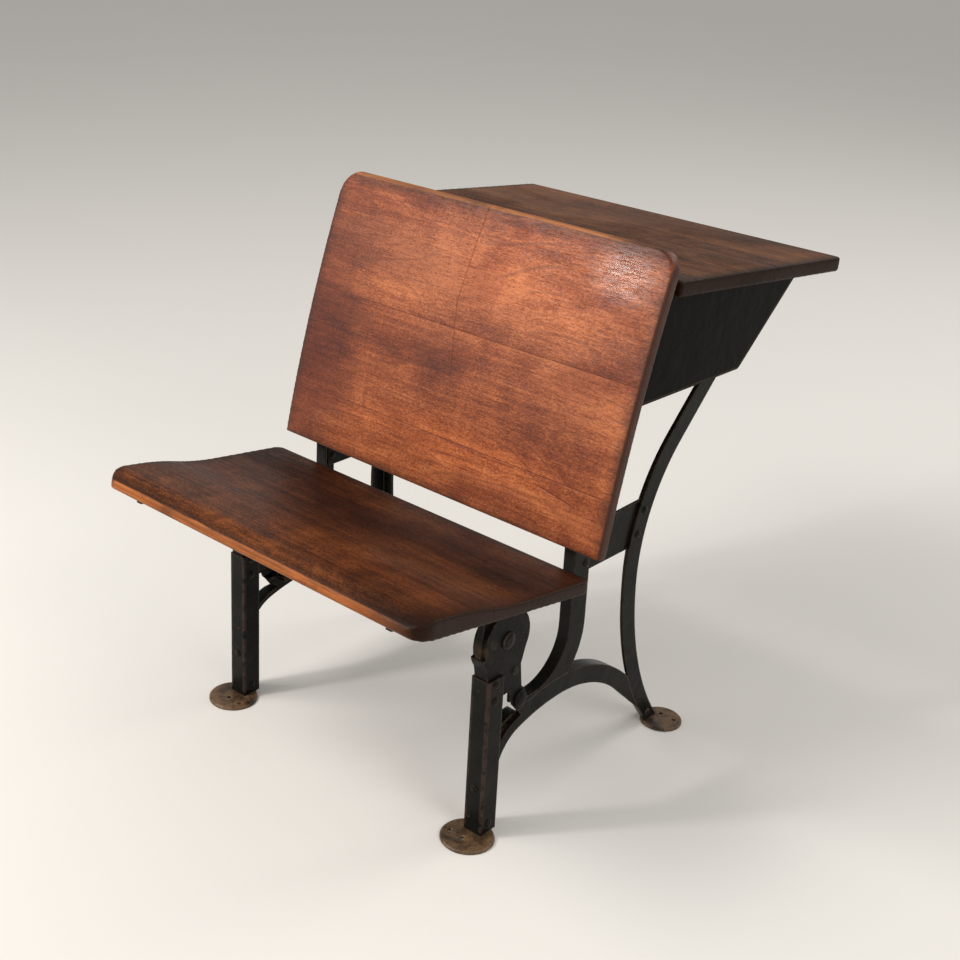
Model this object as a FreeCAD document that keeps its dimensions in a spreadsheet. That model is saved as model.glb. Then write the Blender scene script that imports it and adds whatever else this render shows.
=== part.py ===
import FreeCAD, Part
import math
import os
import Sketcher

# School desk with lift lid: a folding seat and a backrest in front, a book box with a lifting lid behind,
# carried by two steel side frames.
#
# Frame: +X to the right when facing the seat, +Y towards the lid, +Z up, in millimetres.
# The floor is Z = 0, the desk is symmetric about X = 0, and Y = 0 is halfway between the front edge of
# the seat and the far edge of the lid.
# Side views are drawn in (Y, Z). Places along Y are given as stations, measured backwards from the front
# face of the front legs, and are turned into Y by the function station.

SIZES = [
    # front leg, an upright channel open at the back, set in from the end of the boards
    ("frame_setback", 41.0),
    ("leg_width", 27.0),
    ("leg_depth", 28.0),
    ("leg_wall", 3.5),
    ("leg_top_drop", 43.0),
    ("leg_edge_round", 1.5),
    # bars of the side frame, each an angle with an outer web and one flange
    ("bar_gap", 0.25),
    ("web_thickness", 4.0),
    ("flange_thickness", 4.0),
    # round foot pads
    ("front_pad_radius", 33.5),
    ("rear_pad_radius", 28.0),
    ("pad_rim", 4.0),
    ("pad_chamfer", 1.5),
    ("front_pad_lead", 22.5),
    ("socket_height", 26.0),
    ("pad_hole_radius", 3.2),
    ("pad_hole_spacing", 21.0),
    ("front_hole_inset", 11.0),
    ("front_hole_lead", 8.0),
    ("rear_pad_out", 20.5),
    ("rear_pad_back", 8.0),
    ("rear_hole_out", 4.5),
    ("rear_hole_back", 8.0),
    ("rear_lug_thickness", 7.0),
    ("rear_lug_setback", 2.0),
    # arch brace
    ("arch_foot", 50.0),
    ("arch_spring", 85.0),
    ("arch_heel_radius", 40.0),
    ("arch_rise_angle", 20.0),
    ("arch_rise_radius", 269.0),
    ("arch_crown_radius", 190.0),
    ("arch_fall_angle", 43.0),
    # rear leg
    ("knee_station", 299.5),
    ("knee_height", 245.0),
    ("rear_depth", 27.5),
    ("rear_toe_depth", 23.0),
    ("rear_toe_station", 380.0),
    ("rear_upper_radius", 240.0),
    ("rear_upper_angle", 46.0),
    ("leg_tab_inset", 3.0),
    # back upright
    ("upright_station", 159.0),
    ("upright_width", 16.5),
    ("upright_depth", 31.0),
    ("upright_heel_radius", 65.0),
    ("upright_heel_height", 230.0),
    ("upright_knee_radius", 115.0),
    ("upright_top", 600.0),
    ("root_front_height", 171.0),
    ("root_step", 40.0),
    # link plate between upright and rear leg
    ("link_bottom", 296.0),
    ("link_top", 355.0),
    ("link_thickness", 4.0),
    ("link_setback", 12.0),
    ("link_rivet_edge", 7.5),
    ("link_rivet_inset", 14.0),
    ("link_clearance", 3.0),
    # backrest board, curved towards the sitter
    ("board_width", 533.0),
    ("back_length", 375.7),
    ("back_lean", 17.3),
    ("back_bottom_station", 141.8),
    ("back_bottom_height", 343.4),
    ("back_bulge", 8.0),
    ("back_thickness", 16.0),
    ("back_corner_radius", 30.0),
    ("back_crown", 2.0),
    # seat hinge
    ("pivot_station", 36.0),
    ("pivot_height", 262.0),
    ("cheek_radius", 41.0),
    ("tongue_length", 69.0),
    ("knuckle_radius", 35.0),
    ("knuckle_gap", 2.0),
    ("knuckle_thickness", 8.0),
    ("fork_gap", 0.3),
    ("stop_angle", 205.0),
    ("stop_length", 5.0),
    ("stop_spread", 20.0),
    ("stop_gap_angle", 0.3),
    ("stop_nose_gap", 1.0),
    ("stop_nose_angle", 8.0),
    ("slot_rear_angle", -38.0),
    ("pivot_radius", 6.0),
    ("pivot_clearance", 0.06),
    ("pivot_head_radius", 11.0),
    ("pivot_head_height", 6.0),
    ("nut_radius", 11.0),
    ("nut_height", 8.0),
    ("bolt_reach", 2.0),
    ("bolt_chamfer", 1.0),
    ("boss_radius", 12.0),
    ("boss_flat", 1.0),
    ("boss_station", 62.0),
    ("boss_rivet_radius", 4.5),
    ("boss_rivet_head_radius", 9.0),
    ("boss_rivet_head_height", 6.5),
    ("boss_start_angle", 60.0),
    ("lobe_end_angle", 30.0),
    ("neck_setback", 2.0),
    ("bracket_slot_width", 6.0),
    ("bracket_slot_bottom", 172.0),
    ("bracket_slot_top", 188.0),
    ("bracket_rivet_drop", 6.0),
    ("bracket_rivet_spacing", 23.0),
    ("strut_rivet_lead", 9.0),
    # seat board and its arms, drawn level about the pivot and then tilted
    ("seat_tilt", 10.5),
    ("seat_rise", 60.0),
    ("seat_front", 230.0),
    ("seat_back", 81.0),
    ("seat_rear_thickness", 18.0),
    ("seat_dish_angle", 1.2),
    ("seat_dip", 45.0),
    ("seat_front_rise", 9.0),
    ("seat_swell", 120.0),
    ("seat_roll_angle", 40.0),
    ("seat_nose_under", 8.0),
    ("seat_corner_radius", 26.0),
    ("seat_rear_corner_radius", 8.0),
    ("arm_flange_width", 24.0),
    ("arm_flange_thickness", 4.0),
    ("arm_tip_depth", 3.0),
    ("arm_bend_depth", 9.0),
    ("arm_root_reach", 6.5),
    ("arm_root_angle", 150.0),
    ("rib_rear_angle", 62.0),
    ("arm_front_setback", 16.0),
    ("arm_rear_reach", 52.0),
    ("arm_screw_front", 22.0),
    ("arm_screw_rear", 16.0),
    ("arm_screw_count", 4.0),
    ("arm_screw_spread", 8.0),
    # book box of sheet steel, set in from the end of the boards
    ("box_setback", 36.5),
    ("box_sheet", 1.5),
    ("box_bend", 10.0),
    ("box_bottom_back_station", 480.0),
    ("box_bottom_back_height", 488.0),
    ("box_bottom_slope", 2.6),
    ("box_back_slope", 39.3),
    ("box_flange", 13.0),
    ("rim_gap", 0.3),
    ("rail_thickness", 5.0),
    ("rail_rear_station", 450.0),
    ("rail_tab_drop", 17.0),
    ("rail_tab_set", 17.7),
    ("rail_tab_edge", 10.0),
    ("rail_tab_overlap", 38.0),
    ("rail_tab_taper", 22.0),
    ("rail_end_gap", 4.0),
    ("front_bolt_along", 193.0),
    ("rear_bolt_lead", 26.0),
    # lid, drawn level about its hinge pin and then tilted
    ("lid_setback", 5.5),
    ("lid_thickness", 20.0),
    ("lid_length", 391.0),
    ("lid_slope", 7.7),
    ("lid_axis_station", 281.0),
    ("lid_axis_height", 637.7),
    ("lid_near_overhang", 10.0),
    ("lid_edge_round", 4.5),
    ("lid_corner_radius", 14.0),
    ("hinge_setback", 111.5),
    ("hinge_length", 64.0),
    ("hinge_knuckle_count", 5.0),
    ("hinge_leaf_width", 30.0),
    ("hinge_leaf_thickness", 2.0),
    ("hinge_barrel_radius", 3.8),
    ("hinge_pin_radius", 1.9),
    ("hinge_pin_clearance", 0.05),
    ("hinge_end_gap", 0.4),
    ("hinge_pin_head_radius", 3.2),
    ("pin_head_gap", 0.1),
    ("pin_reach", 2.0),
    ("leaf_hole_near", 12.0),
    ("leaf_hole_far", 22.0),
    ("leaf_hole_spread", 22.0),
    # fasteners
    ("rivet_radius", 3.0),
    ("rivet_head_radius", 5.0),
    ("rivet_head_height", 2.4),
    ("screw_radius", 2.0),
    ("screw_head_radius", 3.4),
    ("screw_head_height", 2.0),
    ("screw_depth", 10.0),
    ("bolt_radius", 3.0),
    ("bolt_head_radius", 5.5),
    ("bolt_head_height", 3.5),
    ("small_nut_radius", 5.5),
    ("small_nut_height", 5.0),
    ("hole_reach", 16.0),
    ("hole_clearance", 0.08),
]

doc = FreeCAD.newDocument("SchoolDesk")
sheet = doc.addObject("Spreadsheet::Sheet", "Sizes")
for row, (alias, value) in enumerate(SIZES, start=1):
    sheet.set("A%d" % row, alias)
    sheet.set("B%d" % row, str(value))
    sheet.setAlias("B%d" % row, alias)
doc.recompute()


def size(alias):
    """A driving dimension, read from the sheet."""
    return float(sheet.get(alias))


def cell(alias):
    """The name of a sheet cell inside an expression."""
    return "<<Sizes>>." + alias


SIDES = (("left", -1), ("right", 1))
ZERO = FreeCAD.Vector(0, 0, 0)
ALONG_X = FreeCAD.Vector(1, 0, 0)


def cosd(angle):
    return math.cos(math.radians(angle))


def sind(angle):
    return math.sin(math.radians(angle))


def tand(angle):
    return math.tan(math.radians(angle))


def polar(centre, radius, angle):
    """The point at a radius and an angle in degrees from a centre, in the side view."""
    return (centre[0] + radius * cosd(angle), centre[1] + radius * sind(angle))


def crossing(point_a, angle_a, point_b, angle_b):
    """Where two lines of the side view cross, each given by a point and its direction in degrees."""
    det = cosd(angle_a) * sind(angle_b) - sind(angle_a) * cosd(angle_b)
    dy = point_b[0] - point_a[0]
    dz = point_b[1] - point_a[1]
    run = (dy * sind(angle_b) - dz * cosd(angle_b)) / det
    return polar(point_a, run, angle_a)


# --------------------------------------------------------------------------- layout

LEG_OUT = size("board_width") / 2 - size("frame_setback")
LEG_IN = LEG_OUT - size("leg_width")
HINGE_X = size("board_width") / 2 - size("hinge_setback")
LEG_TOP = size("pivot_height") - size("leg_top_drop")
BAR_OUT = LEG_OUT - size("leg_wall") - size("bar_gap")
BAR_IN = LEG_IN + size("leg_wall") + size("bar_gap")
BAR_MID = (BAR_OUT + BAR_IN) / 2
WEB_IN = BAR_OUT - size("web_thickness")
LINK_IN = WEB_IN - size("link_thickness")
UPRIGHT_IN = BAR_OUT - size("upright_width")

# In the side view the seat hinge and the lid hinge each carry a tilted frame.
LID_TILT = -size("lid_slope")
SEAT_TILT = -size("seat_tilt")

def level_shift(along, rise, tilt):
    """How far along Y a point of a tilted frame lies from the frame's origin."""
    return along * cosd(tilt) - rise * sind(tilt)


LID_UNDER = size("hinge_barrel_radius") - size("hinge_leaf_thickness")
lid_round = size("lid_thickness") / 2
lid_far = (size("lid_axis_station") + lid_round
           + level_shift(size("lid_length") - lid_round, LID_UNDER + lid_round, LID_TILT))
nose = size("seat_nose_under")
seat_front = (size("pivot_station") - nose
              + level_shift(nose - size("seat_front"), size("seat_rise") + nose, SEAT_TILT))
MID_STATION = (lid_far + seat_front) / 2


def station(value):
    """The Y of a station, which is measured backwards from the front face of the front legs."""
    return value - MID_STATION


PIVOT = (station(size("pivot_station")), size("pivot_height"))
LID_AXIS = (station(size("lid_axis_station")), size("lid_axis_height"))


def on_lid(along, rise):
    """The (Y, Z) of a point of the closed lid's own frame, whose origin is the hinge pin."""
    base = polar(LID_AXIS, along, LID_TILT)
    return polar(base, rise, LID_TILT + 90)


# The faces of the backrest are arcs about one centre, which lies behind the backrest.
BACK_FOOT = (station(size("back_bottom_station")), size("back_bottom_height"))
BACK_HEAD = polar(BACK_FOOT, size("back_length"), 90 - size("back_lean"))
BACK_RADIUS = size("back_length") ** 2 / (8 * size("back_bulge")) + size("back_bulge") / 2
BACK_MIDDLE = polar(BACK_FOOT, size("back_length") / 2, 90 - size("back_lean"))
BACK_CENTRE = polar(BACK_MIDDLE, BACK_RADIUS - size("back_bulge"), -size("back_lean"))
BACK_HALF_ANGLE = math.degrees(math.asin(size("back_length") / 2 / BACK_RADIUS))
REST_RADIUS = BACK_RADIUS - size("back_thickness")

# The box bottom falls slightly towards the back, and the rails lie under it.
BOX_BOTTOM_BACK = (station(size("box_bottom_back_station")), size("box_bottom_back_height"))
BOX_BOTTOM_ANGLE = 180 - size("box_bottom_slope")
RAIL_UNDER = polar(BOX_BOTTOM_BACK, size("rail_thickness"), BOX_BOTTOM_ANGLE + 90)


class Track:
    """Straight runs and tangent arcs in the side view, which can be drawn at any distance to the left."""

    def __init__(self, start, heading):
        self.pieces = []
        self.end = start
        self.heading = heading

    def run(self, length):
        finish = polar(self.end, length, self.heading)
        self.pieces.append(("run", self.end, finish, self.heading))
        self.end = finish
        return self

    def bend(self, radius, turn):
        """Turn by an angle in degrees, positive to the left, on an arc of this radius."""
        hand = 1 if turn > 0 else -1
        centre = polar(self.end, radius, self.heading + 90 * hand)
        self.pieces.append(("bend", centre, radius, self.heading, turn))
        self.heading += turn
        self.end = polar(centre, radius, self.heading - 90 * hand)
        return self

    def edges(self, left):
        """Point lists of the track drawn this far to its left: two points a run, three points an arc."""
        lists = []
        for piece in self.pieces:
            if piece[0] == "run":
                side = piece[3] + 90
                lists.append([polar(piece[1], left, side), polar(piece[2], left, side)])
            else:
                centre, radius, heading, turn = piece[1:]
                hand = 1 if turn > 0 else -1
                reach = radius - hand * left
                angles = (heading, heading + turn / 2, heading + turn)
                lists.append([polar(centre, reach, angle - 90 * hand) for angle in angles])
        return lists


def track_through(points, radius):
    """A track along straight lines between points, with one bend radius at every inner point."""
    def heading(a, b):
        return math.degrees(math.atan2(b[1] - a[1], b[0] - a[0]))

    headings = [heading(a, b) for a, b in zip(points, points[1:])]
    turns = [(b - a + 180) % 360 - 180 for a, b in zip(headings, headings[1:])]
    cuts = [0] + [radius * abs(tand(turn / 2)) for turn in turns] + [0]
    track = Track(points[0], headings[0])
    for index, (a, b) in enumerate(zip(points, points[1:])):
        track.run(math.dist(a, b) - cuts[index] - cuts[index + 1])
        if index < len(turns):
            track.bend(radius, turns[index])
    return track


def reverse(lists):
    return [list(reversed(points)) for points in reversed(lists)]


def band(track, near, far):
    """A closed outline between two offsets of a track."""
    out = track.edges(near)
    back = reverse(track.edges(far))
    return out + [[out[-1][-1], back[0][0]]] + back + [[back[-1][-1], out[0][0]]]


def polygon(points):
    return [[a, b] for a, b in zip(points, points[1:] + points[:1])]


def arc(centre, radius, start, finish):
    """Three points of an arc from one angle to another."""
    return [polar(centre, radius, angle) for angle in (start, (start + finish) / 2, finish)]


def under_box(along, drop):
    """A point under the box bottom: a distance forwards from its rear bend, and a drop below its face."""
    return polar(polar(BOX_BOTTOM_BACK, along, BOX_BOTTOM_ANGLE), drop, BOX_BOTTOM_ANGLE + 90)


RAIL_OUT = WEB_IN - size("bar_gap")
RAIL_MID = (BAR_IN + RAIL_OUT) / 2


def reach_to_arc(start, heading, centre, radius):
    """The length of a line from a point inside a circle to that circle, in a direction in degrees."""
    dy, dz = start[0] - centre[0], start[1] - centre[1]
    toward = -(dy * cosd(heading) + dz * sind(heading))
    return toward + math.sqrt(toward * toward - dy * dy - dz * dz + radius * radius)


# the tab of a rail ends on the web of the back upright, a set distance behind the backrest
RAIL_TAB_ALONG = reach_to_arc(under_box(0, size("rail_tab_drop")), BOX_BOTTOM_ANGLE, BACK_CENTRE,
                              REST_RADIUS - size("rail_tab_set"))
RAIL_TAB_RIVET = under_box(RAIL_TAB_ALONG, size("rail_tab_drop"))

# --------------------------------------------------------------------------- building blocks

# how far a cut goes where it only has to pass through, and past the edge of what it trims
THROUGH = 2000.0
TRIM_MARGIN = 10.0
# a length or volume below this counts as none
NOTHING = 1e-6

bodies = []


def new_body(label):
    body = doc.addObject("PartDesign::Body", label)
    body.Label = label
    bodies.append(body)
    return body


def plane(body, role):
    return next(item for item in body.Origin.OriginFeatures if item.Role == role)


def sketch_on(body, name, role, lift=0.0):
    """An empty sketch on one of the body's own planes, lifted along its normal by a number or expression."""
    sketch = body.newObject("Sketcher::SketchObject", name)
    sketch.AttachmentSupport = (plane(body, role), [""])
    sketch.MapMode = "FlatFace"
    if isinstance(lift, str):
        sketch.setExpression("AttachmentOffset.Base.z", lift)
    else:
        sketch.AttachmentOffset = FreeCAD.Placement(FreeCAD.Vector(0, 0, lift), FreeCAD.Rotation())
    return sketch


def vector(point):
    return FreeCAD.Vector(point[0], point[1], 0)


def draw(sketch, outline):
    """Add an outline of point lists: two points are a line, three an arc and more a spline."""
    for points in outline:
        corners = [vector(point) for point in points]
        if len(corners) == 2:
            sketch.addGeometry(Part.LineSegment(*corners))
        elif len(corners) == 3:
            sketch.addGeometry(Part.Arc(*corners))
        else:
            spline = Part.BSplineCurve()
            spline.interpolate(corners)
            sketch.addGeometry(spline)


def draw_circle(sketch, centre, radius):
    """A circle whose radius is a sheet expression."""
    index = sketch.addGeometry(Part.Circle(vector(centre), FreeCAD.Vector(0, 0, 1), 1.0))
    number = sketch.addConstraint(Sketcher.Constraint("Radius", index, 1.0))
    sketch.setExpression("Constraints[%d]" % number, radius)


def pad(body, sketch, length, sides="One side"):
    """Pad a sketch by a sheet expression."""
    feature = body.newObject("PartDesign::Pad", sketch.Name + "Pad")
    feature.Profile = sketch
    feature.SideType = sides
    feature.setExpression("Length", length)
    return feature


def cut(body, sketch, sides="Symmetric", length=THROUGH, reverse_cut=False):
    """Pocket a sketch, by default far to both sides, and make sure that it took something away."""
    doc.recompute()
    before = body.Shape.Volume
    feature = body.newObject("PartDesign::Pocket", sketch.Name + "Cut")
    feature.Profile = sketch
    feature.SideType = sides
    feature.Reversed = reverse_cut
    if isinstance(length, str):
        feature.setExpression("Length", length)
    else:
        feature.Length = length
    doc.recompute()
    if body.Shape.Volume > before - NOTHING:
        raise RuntimeError("%s cuts nothing" % sketch.Name)
    return feature


def side_pad(body, name, outline, inner, outer, hand):
    """Pad a side-view outline between two distances from the middle plane, on the left or right side."""
    low = min(inner * hand, outer * hand)
    sketch = sketch_on(body, name, "YZ_Plane", low)
    draw(sketch, outline)
    feature = body.newObject("PartDesign::Pad", name + "Pad")
    feature.Profile = sketch
    feature.Length = outer - inner
    return feature


def side_cut(body, name, outline):
    """Cut a side-view outline right through a body."""
    sketch = sketch_on(body, name, "YZ_Plane")
    draw(sketch, outline)
    return cut(body, sketch)


def side_holes(body, name, places, radius):
    """Round holes along X through a body, at places of the side view."""
    sketch = sketch_on(body, name, "YZ_Plane")
    for place in places:
        draw_circle(sketch, place, radius)
    return cut(body, sketch)


def edges_where(body, test):
    """Names of the body's edges whose two ends pass a test."""
    doc.recompute()
    names = []
    for number, edge in enumerate(body.Shape.Edges, start=1):
        ends = [vertex.Point for vertex in edge.Vertexes]
        if len(ends) == 2 and test(ends[0], ends[1]):
            names.append("Edge%d" % number)
    return names


def round_edges(body, name, radius, test):
    """Fillet the edges that pass a test, with a radius from the sheet."""
    names = edges_where(body, test)
    if not names:
        raise RuntimeError("%s finds no edge" % name)
    base = body.Tip
    feature = body.newObject("PartDesign::Fillet", name)
    feature.Base = (base, names)
    feature.setExpression("Radius", radius)
    doc.recompute()
    return feature


def place(body, origin, tilt):
    """Turn a body that was drawn level about X and move its origin to a point of the side view."""
    body.Placement = FreeCAD.Placement(FreeCAD.Vector(0, origin[0], origin[1]),
                                       FreeCAD.Rotation(ALONG_X, tilt))


def solids(label, shapes):
    """A group of separate identical solids as one node."""
    feature = doc.addObject("Part::Feature", label)
    feature.Label = label
    feature.Shape = Part.Compound(shapes)
    bodies.append(feature)
    return feature


DOME_SHARES = ((0.0, 1.0), (0.6, 0.85), (1.0, 0.4), (1.0, 0.0))


def turned(profile, base, direction):
    """A solid turned about an axis: profile is (radius, height) points, from the axis and back to it."""
    points = [FreeCAD.Vector(radius, 0, height) for radius, height in profile]
    face = Part.Face(Part.makePolygon(points + points[:1]))
    solid = face.revolve(ZERO, FreeCAD.Vector(0, 0, 1), 360)
    solid.Placement = FreeCAD.Placement(base, FreeCAD.Rotation(FreeCAD.Vector(0, 0, 1), direction))
    return solid


def dome(radius, height):
    """The (radius, height) profile of a domed head, from its crown to its seat."""
    return [(out * radius, rise * height) for out, rise in DOME_SHARES]


def headed_pin(base, direction, radius, length, head_radius, head_height):
    """A domed head on a round shank. The base is the seat of the head, and direction is along the shank."""
    head = [(out, -rise) for out, rise in reversed(dome(head_radius, head_height))]
    return turned([(0, length), (radius, length), (radius, 0)] + head, base, direction)


def rivet(base, direction, grip, kind="rivet"):
    """A rivet with a dome at both ends, whose grip starts at the base."""
    radius, head, height = size(kind + "_radius"), size(kind + "_head_radius"), size(kind + "_head_height")
    far = [(out, grip + rise) for out, rise in dome(head, height)]
    near = [(out, -rise) for out, rise in reversed(dome(head, height))]
    return turned(far + [(radius, grip), (radius, 0)] + near, base, direction)


def screw(base, direction, length):
    """A round-headed screw."""
    return headed_pin(base, direction, size("screw_radius"), length, size("screw_head_radius"),
                      size("screw_head_height"))


def hexagon_nut(base, direction):
    """A nut for the box bolts. The base is the face that presses on the work."""
    corners = [FreeCAD.Vector(*polar((0, 0), size("small_nut_radius"), 60 * turn), 0) for turn in range(7)]
    block = Part.Face(Part.makePolygon(corners)).extrude(FreeCAD.Vector(0, 0, size("small_nut_height")))
    bore = Part.makeCylinder(size("bolt_radius") + size("hole_clearance"), size("small_nut_height"))
    nut = block.cut(bore).Solids[0]
    nut.Placement = FreeCAD.Placement(base, FreeCAD.Rotation(FreeCAD.Vector(0, 0, 1), direction))
    return nut


def side_point(x, point):
    return FreeCAD.Vector(x, point[0], point[1])


def heading_vector(angle):
    """The unit vector of a direction in the side view."""
    return FreeCAD.Vector(0, cosd(angle), sind(angle))


def chain(points):
    """Straight lines from each point to the next."""
    return [[a, b] for a, b in zip(points, points[1:])]


def slanted_holes(body, name, seat, angle, xs, radius, depth=None):
    """Round holes at these X, square to a sloping face at a seat of the side view.

    With a depth they run from the seat along the angle, and without one they pass the sheet at the seat.
    """
    sketch = sketch_on(body, name, "XY_Plane")
    turn = FreeCAD.Rotation(ALONG_X, angle - 90)
    sketch.AttachmentOffset = FreeCAD.Placement(side_point(0, seat), turn)
    for x in xs:
        draw_circle(sketch, (x, 0), radius)
    if depth is None:
        return cut(body, sketch, "Symmetric", size("hole_reach"))
    return cut(body, sketch, "One side", depth, True)


def trim_corners(body, name, half, edge, radius, inward):
    """Round the two corners of a level board at one edge. Inward is the sign of Y towards its middle."""
    sketch = sketch_on(body, name, "XY_Plane")
    out = TRIM_MARGIN
    for hand in (-1, 1):
        centre = (hand * (half - radius), edge + inward * radius)
        start = (hand * half, centre[1])
        finish = (centre[0], edge)
        middle = (centre[0] + hand * radius * cosd(45), centre[1] - inward * radius * sind(45))
        beyond = edge - inward * out
        draw(sketch, [[start, middle, finish], [finish, (centre[0], beyond)],
                      [(centre[0], beyond), (hand * (half + out), beyond)],
                      [(hand * (half + out), beyond), (hand * (half + out), centre[1])],
                      [(hand * (half + out), centre[1]), start]])
    return cut(body, sketch)


def turn_about_x(body, height, points):
    """Turn a profile of (X, Y) points about the line through its first and last points, along X."""
    sketch = sketch_on(body, "Profile", "XY_Plane", height)
    draw(sketch, polygon(points))
    feature = body.newObject("PartDesign::Revolution", "Turned")
    feature.Profile = sketch
    feature.ReferenceAxis = (sketch, ["Edge%d" % len(points)])
    feature.Angle = 360
    return feature


RIVET_HOLE = cell("rivet_radius") + " + " + cell("hole_clearance")
BOSS_HOLE = cell("boss_rivet_radius") + " + " + cell("hole_clearance")
BOLT_HOLE = cell("bolt_radius") + " + " + cell("hole_clearance")
SCREW_HOLE = cell("screw_radius") + " + " + cell("hole_clearance")
PIVOT_HOLE = cell("pivot_radius") + " + " + cell("pivot_clearance")


# --------------------------------------------------------------------------- front legs

FOOT_RIVET = (station(size("leg_depth") / 2), size("pad_rim") + size("socket_height") / 2)
BRACKET_RIVET_TOP = LEG_TOP - size("bracket_rivet_drop")
BRACKET_RIVETS = [(station(size("leg_depth") / 2), BRACKET_RIVET_TOP - drop)
                  for drop in (0, size("bracket_rivet_spacing"))]
STRUT_RIVET = (station(size("boss_station") - size("strut_rivet_lead")), BRACKET_RIVET_TOP)
ARCH_RIVET_HEIGHT = (size("arch_foot") + size("arch_spring")) / 2


def front_hole(body, hand):
    """The hole for the rivet that holds the foot of the arch, cut forwards from the back of the leg."""
    sketch = sketch_on(body, "FrontHole", "XZ_Plane", -station(size("leg_depth")))
    draw_circle(sketch, (hand * (LEG_OUT + LEG_IN) / 2, ARCH_RIVET_HEIGHT), RIVET_HOLE)
    return cut(body, sketch, "One side", 2 * size("leg_depth"), True)


def front_leg(name, hand):
    """An upright steel channel, open at the back."""
    body = new_body(name + "_front_leg")
    middle = hand * (LEG_OUT + LEG_IN) / 2
    half = size("leg_width") / 2
    inner = half - size("leg_wall")
    front, back = station(0), station(size("leg_depth"))
    web_back = station(size("leg_wall"))
    sketch = sketch_on(body, "Channel", "XY_Plane", cell("pad_rim"))
    draw(sketch, polygon([
        (middle - half, front), (middle + half, front), (middle + half, back), (middle + inner, back),
        (middle + inner, web_back), (middle - inner, web_back), (middle - inner, back),
        (middle - half, back)]))
    pad(body, sketch, " - ".join([cell("pivot_height"), cell("leg_top_drop"), cell("pad_rim")]))
    side_holes(body, "SideHoles", [FOOT_RIVET] + BRACKET_RIVETS, RIVET_HOLE)
    front_hole(body, hand)
    round_edges(body, "FrontCorners", cell("leg_edge_round"), lambda a, b: (
        abs(a.y - front) < NOTHING and abs(b.y - front) < NOTHING and abs(a.x - b.x) < NOTHING
        and abs(a.z - b.z) > LEG_TOP / 2))
    return body


# --------------------------------------------------------------------------- feet

FRONT_PAD = station(size("leg_depth") / 2 - size("front_pad_lead"))
TOE_REAR = (station(size("rear_toe_station")), size("pad_rim"))
TOE_FRONT = (TOE_REAR[0] - size("rear_toe_depth"), size("pad_rim"))
REAR_PAD = (TOE_REAR[0] + TOE_FRONT[0]) / 2 + size("rear_pad_back")
REAR_PAD_X = BAR_MID + size("rear_pad_out")
# where the middle of each pad's two floor screws lies on the right side
FRONT_HOLE = ((LEG_OUT + LEG_IN) / 2 - size("front_hole_inset"), FRONT_PAD - size("front_hole_lead"))
REAR_HOLE = (REAR_PAD_X + size("rear_hole_out"), REAR_PAD + size("rear_hole_back"))


def foot_pad(label, radius, x, y, hole_x, hole_y):
    """A round cast pad with two floor-screw holes."""
    body = new_body(label)
    sketch = sketch_on(body, "Section", "XZ_Plane", -y)
    rim, chamfer = size("pad_rim"), size("pad_chamfer")
    section = [(x, 0), (x + radius, 0), (x + radius, rim - chamfer), (x + radius - chamfer, rim), (x, rim)]
    draw(sketch, polygon(section))
    # the section turns about its own last side
    disc = body.newObject("PartDesign::Revolution", "Disc")
    disc.Profile = sketch
    disc.ReferenceAxis = (sketch, ["Edge%d" % len(section)])
    disc.Angle = 360
    holes = sketch_on(body, "FloorScrews", "XY_Plane")
    for side in (-1, 1):
        draw_circle(holes, (hole_x + side * size("pad_hole_spacing") / 2, hole_y), cell("pad_hole_radius"))
    cut(body, holes)
    return body


def front_foot(name, hand):
    """The pad under a front leg, with a block that fills the foot of the channel."""
    middle = hand * (LEG_OUT + LEG_IN) / 2
    body = foot_pad(name + "_front_foot", size("front_pad_radius"), middle, FRONT_PAD,
                    hand * FRONT_HOLE[0], FRONT_HOLE[1])
    block = sketch_on(body, "Socket", "XY_Plane")
    gap = size("bar_gap")
    half = size("leg_width") / 2 - size("leg_wall") - gap
    front = station(size("leg_wall") + gap)
    back = station(size("leg_depth"))
    draw(block, polygon([(middle - half, front), (middle + half, front), (middle + half, back),
                         (middle - half, back)]))
    pad(body, block, cell("pad_rim") + " + " + cell("socket_height"))
    side_holes(body, "RivetHole", [FOOT_RIVET], RIVET_HOLE)
    return body


# --------------------------------------------------------------------------- rear legs

KNEE_REAR = (station(size("knee_station")), size("knee_height"))


def radius_from_knee(knee, toe):
    """The radius of the arc that leaves the knee upright and ends at the toe."""
    dy = toe[0] - knee[0]
    dz = knee[1] - toe[1]
    return (dy * dy + dz * dz) / (2 * dy)


def rear_edge_track():
    """The rear edge of the rear leg, from the toe up to the box rail."""
    radius = radius_from_knee(KNEE_REAR, TOE_REAR)
    lean = math.degrees(math.asin((KNEE_REAR[1] - TOE_REAR[1]) / radius))
    track = Track(TOE_REAR, 90 + lean)
    track.bend(radius, -lean)
    track.bend(size("rear_upper_radius"), -size("rear_upper_angle"))
    top = crossing(track.end, track.heading, RAIL_UNDER, BOX_BOTTOM_ANGLE)
    return track.run(math.dist(track.end, top) + size("rear_depth") * 2)


def rear_front_arc():
    """The front edge of the rear leg below the knee, from the toe up."""
    knee = (KNEE_REAR[0] - size("rear_depth"), KNEE_REAR[1])
    radius = radius_from_knee(knee, TOE_FRONT)
    centre = (knee[0] + radius, knee[1])
    lean = math.degrees(math.asin((knee[1] - TOE_FRONT[1]) / radius))
    return centre, radius, lean


def above_rail():
    """The region above the underside of the box rails."""
    reach = size("lid_length")
    front = polar(RAIL_UNDER, reach, BOX_BOTTOM_ANGLE)
    back = polar(RAIL_UNDER, reach, BOX_BOTTOM_ANGLE + 180)
    return polygon([front, back, (back[0], back[1] + reach), (front[0], front[1] + reach)])


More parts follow.
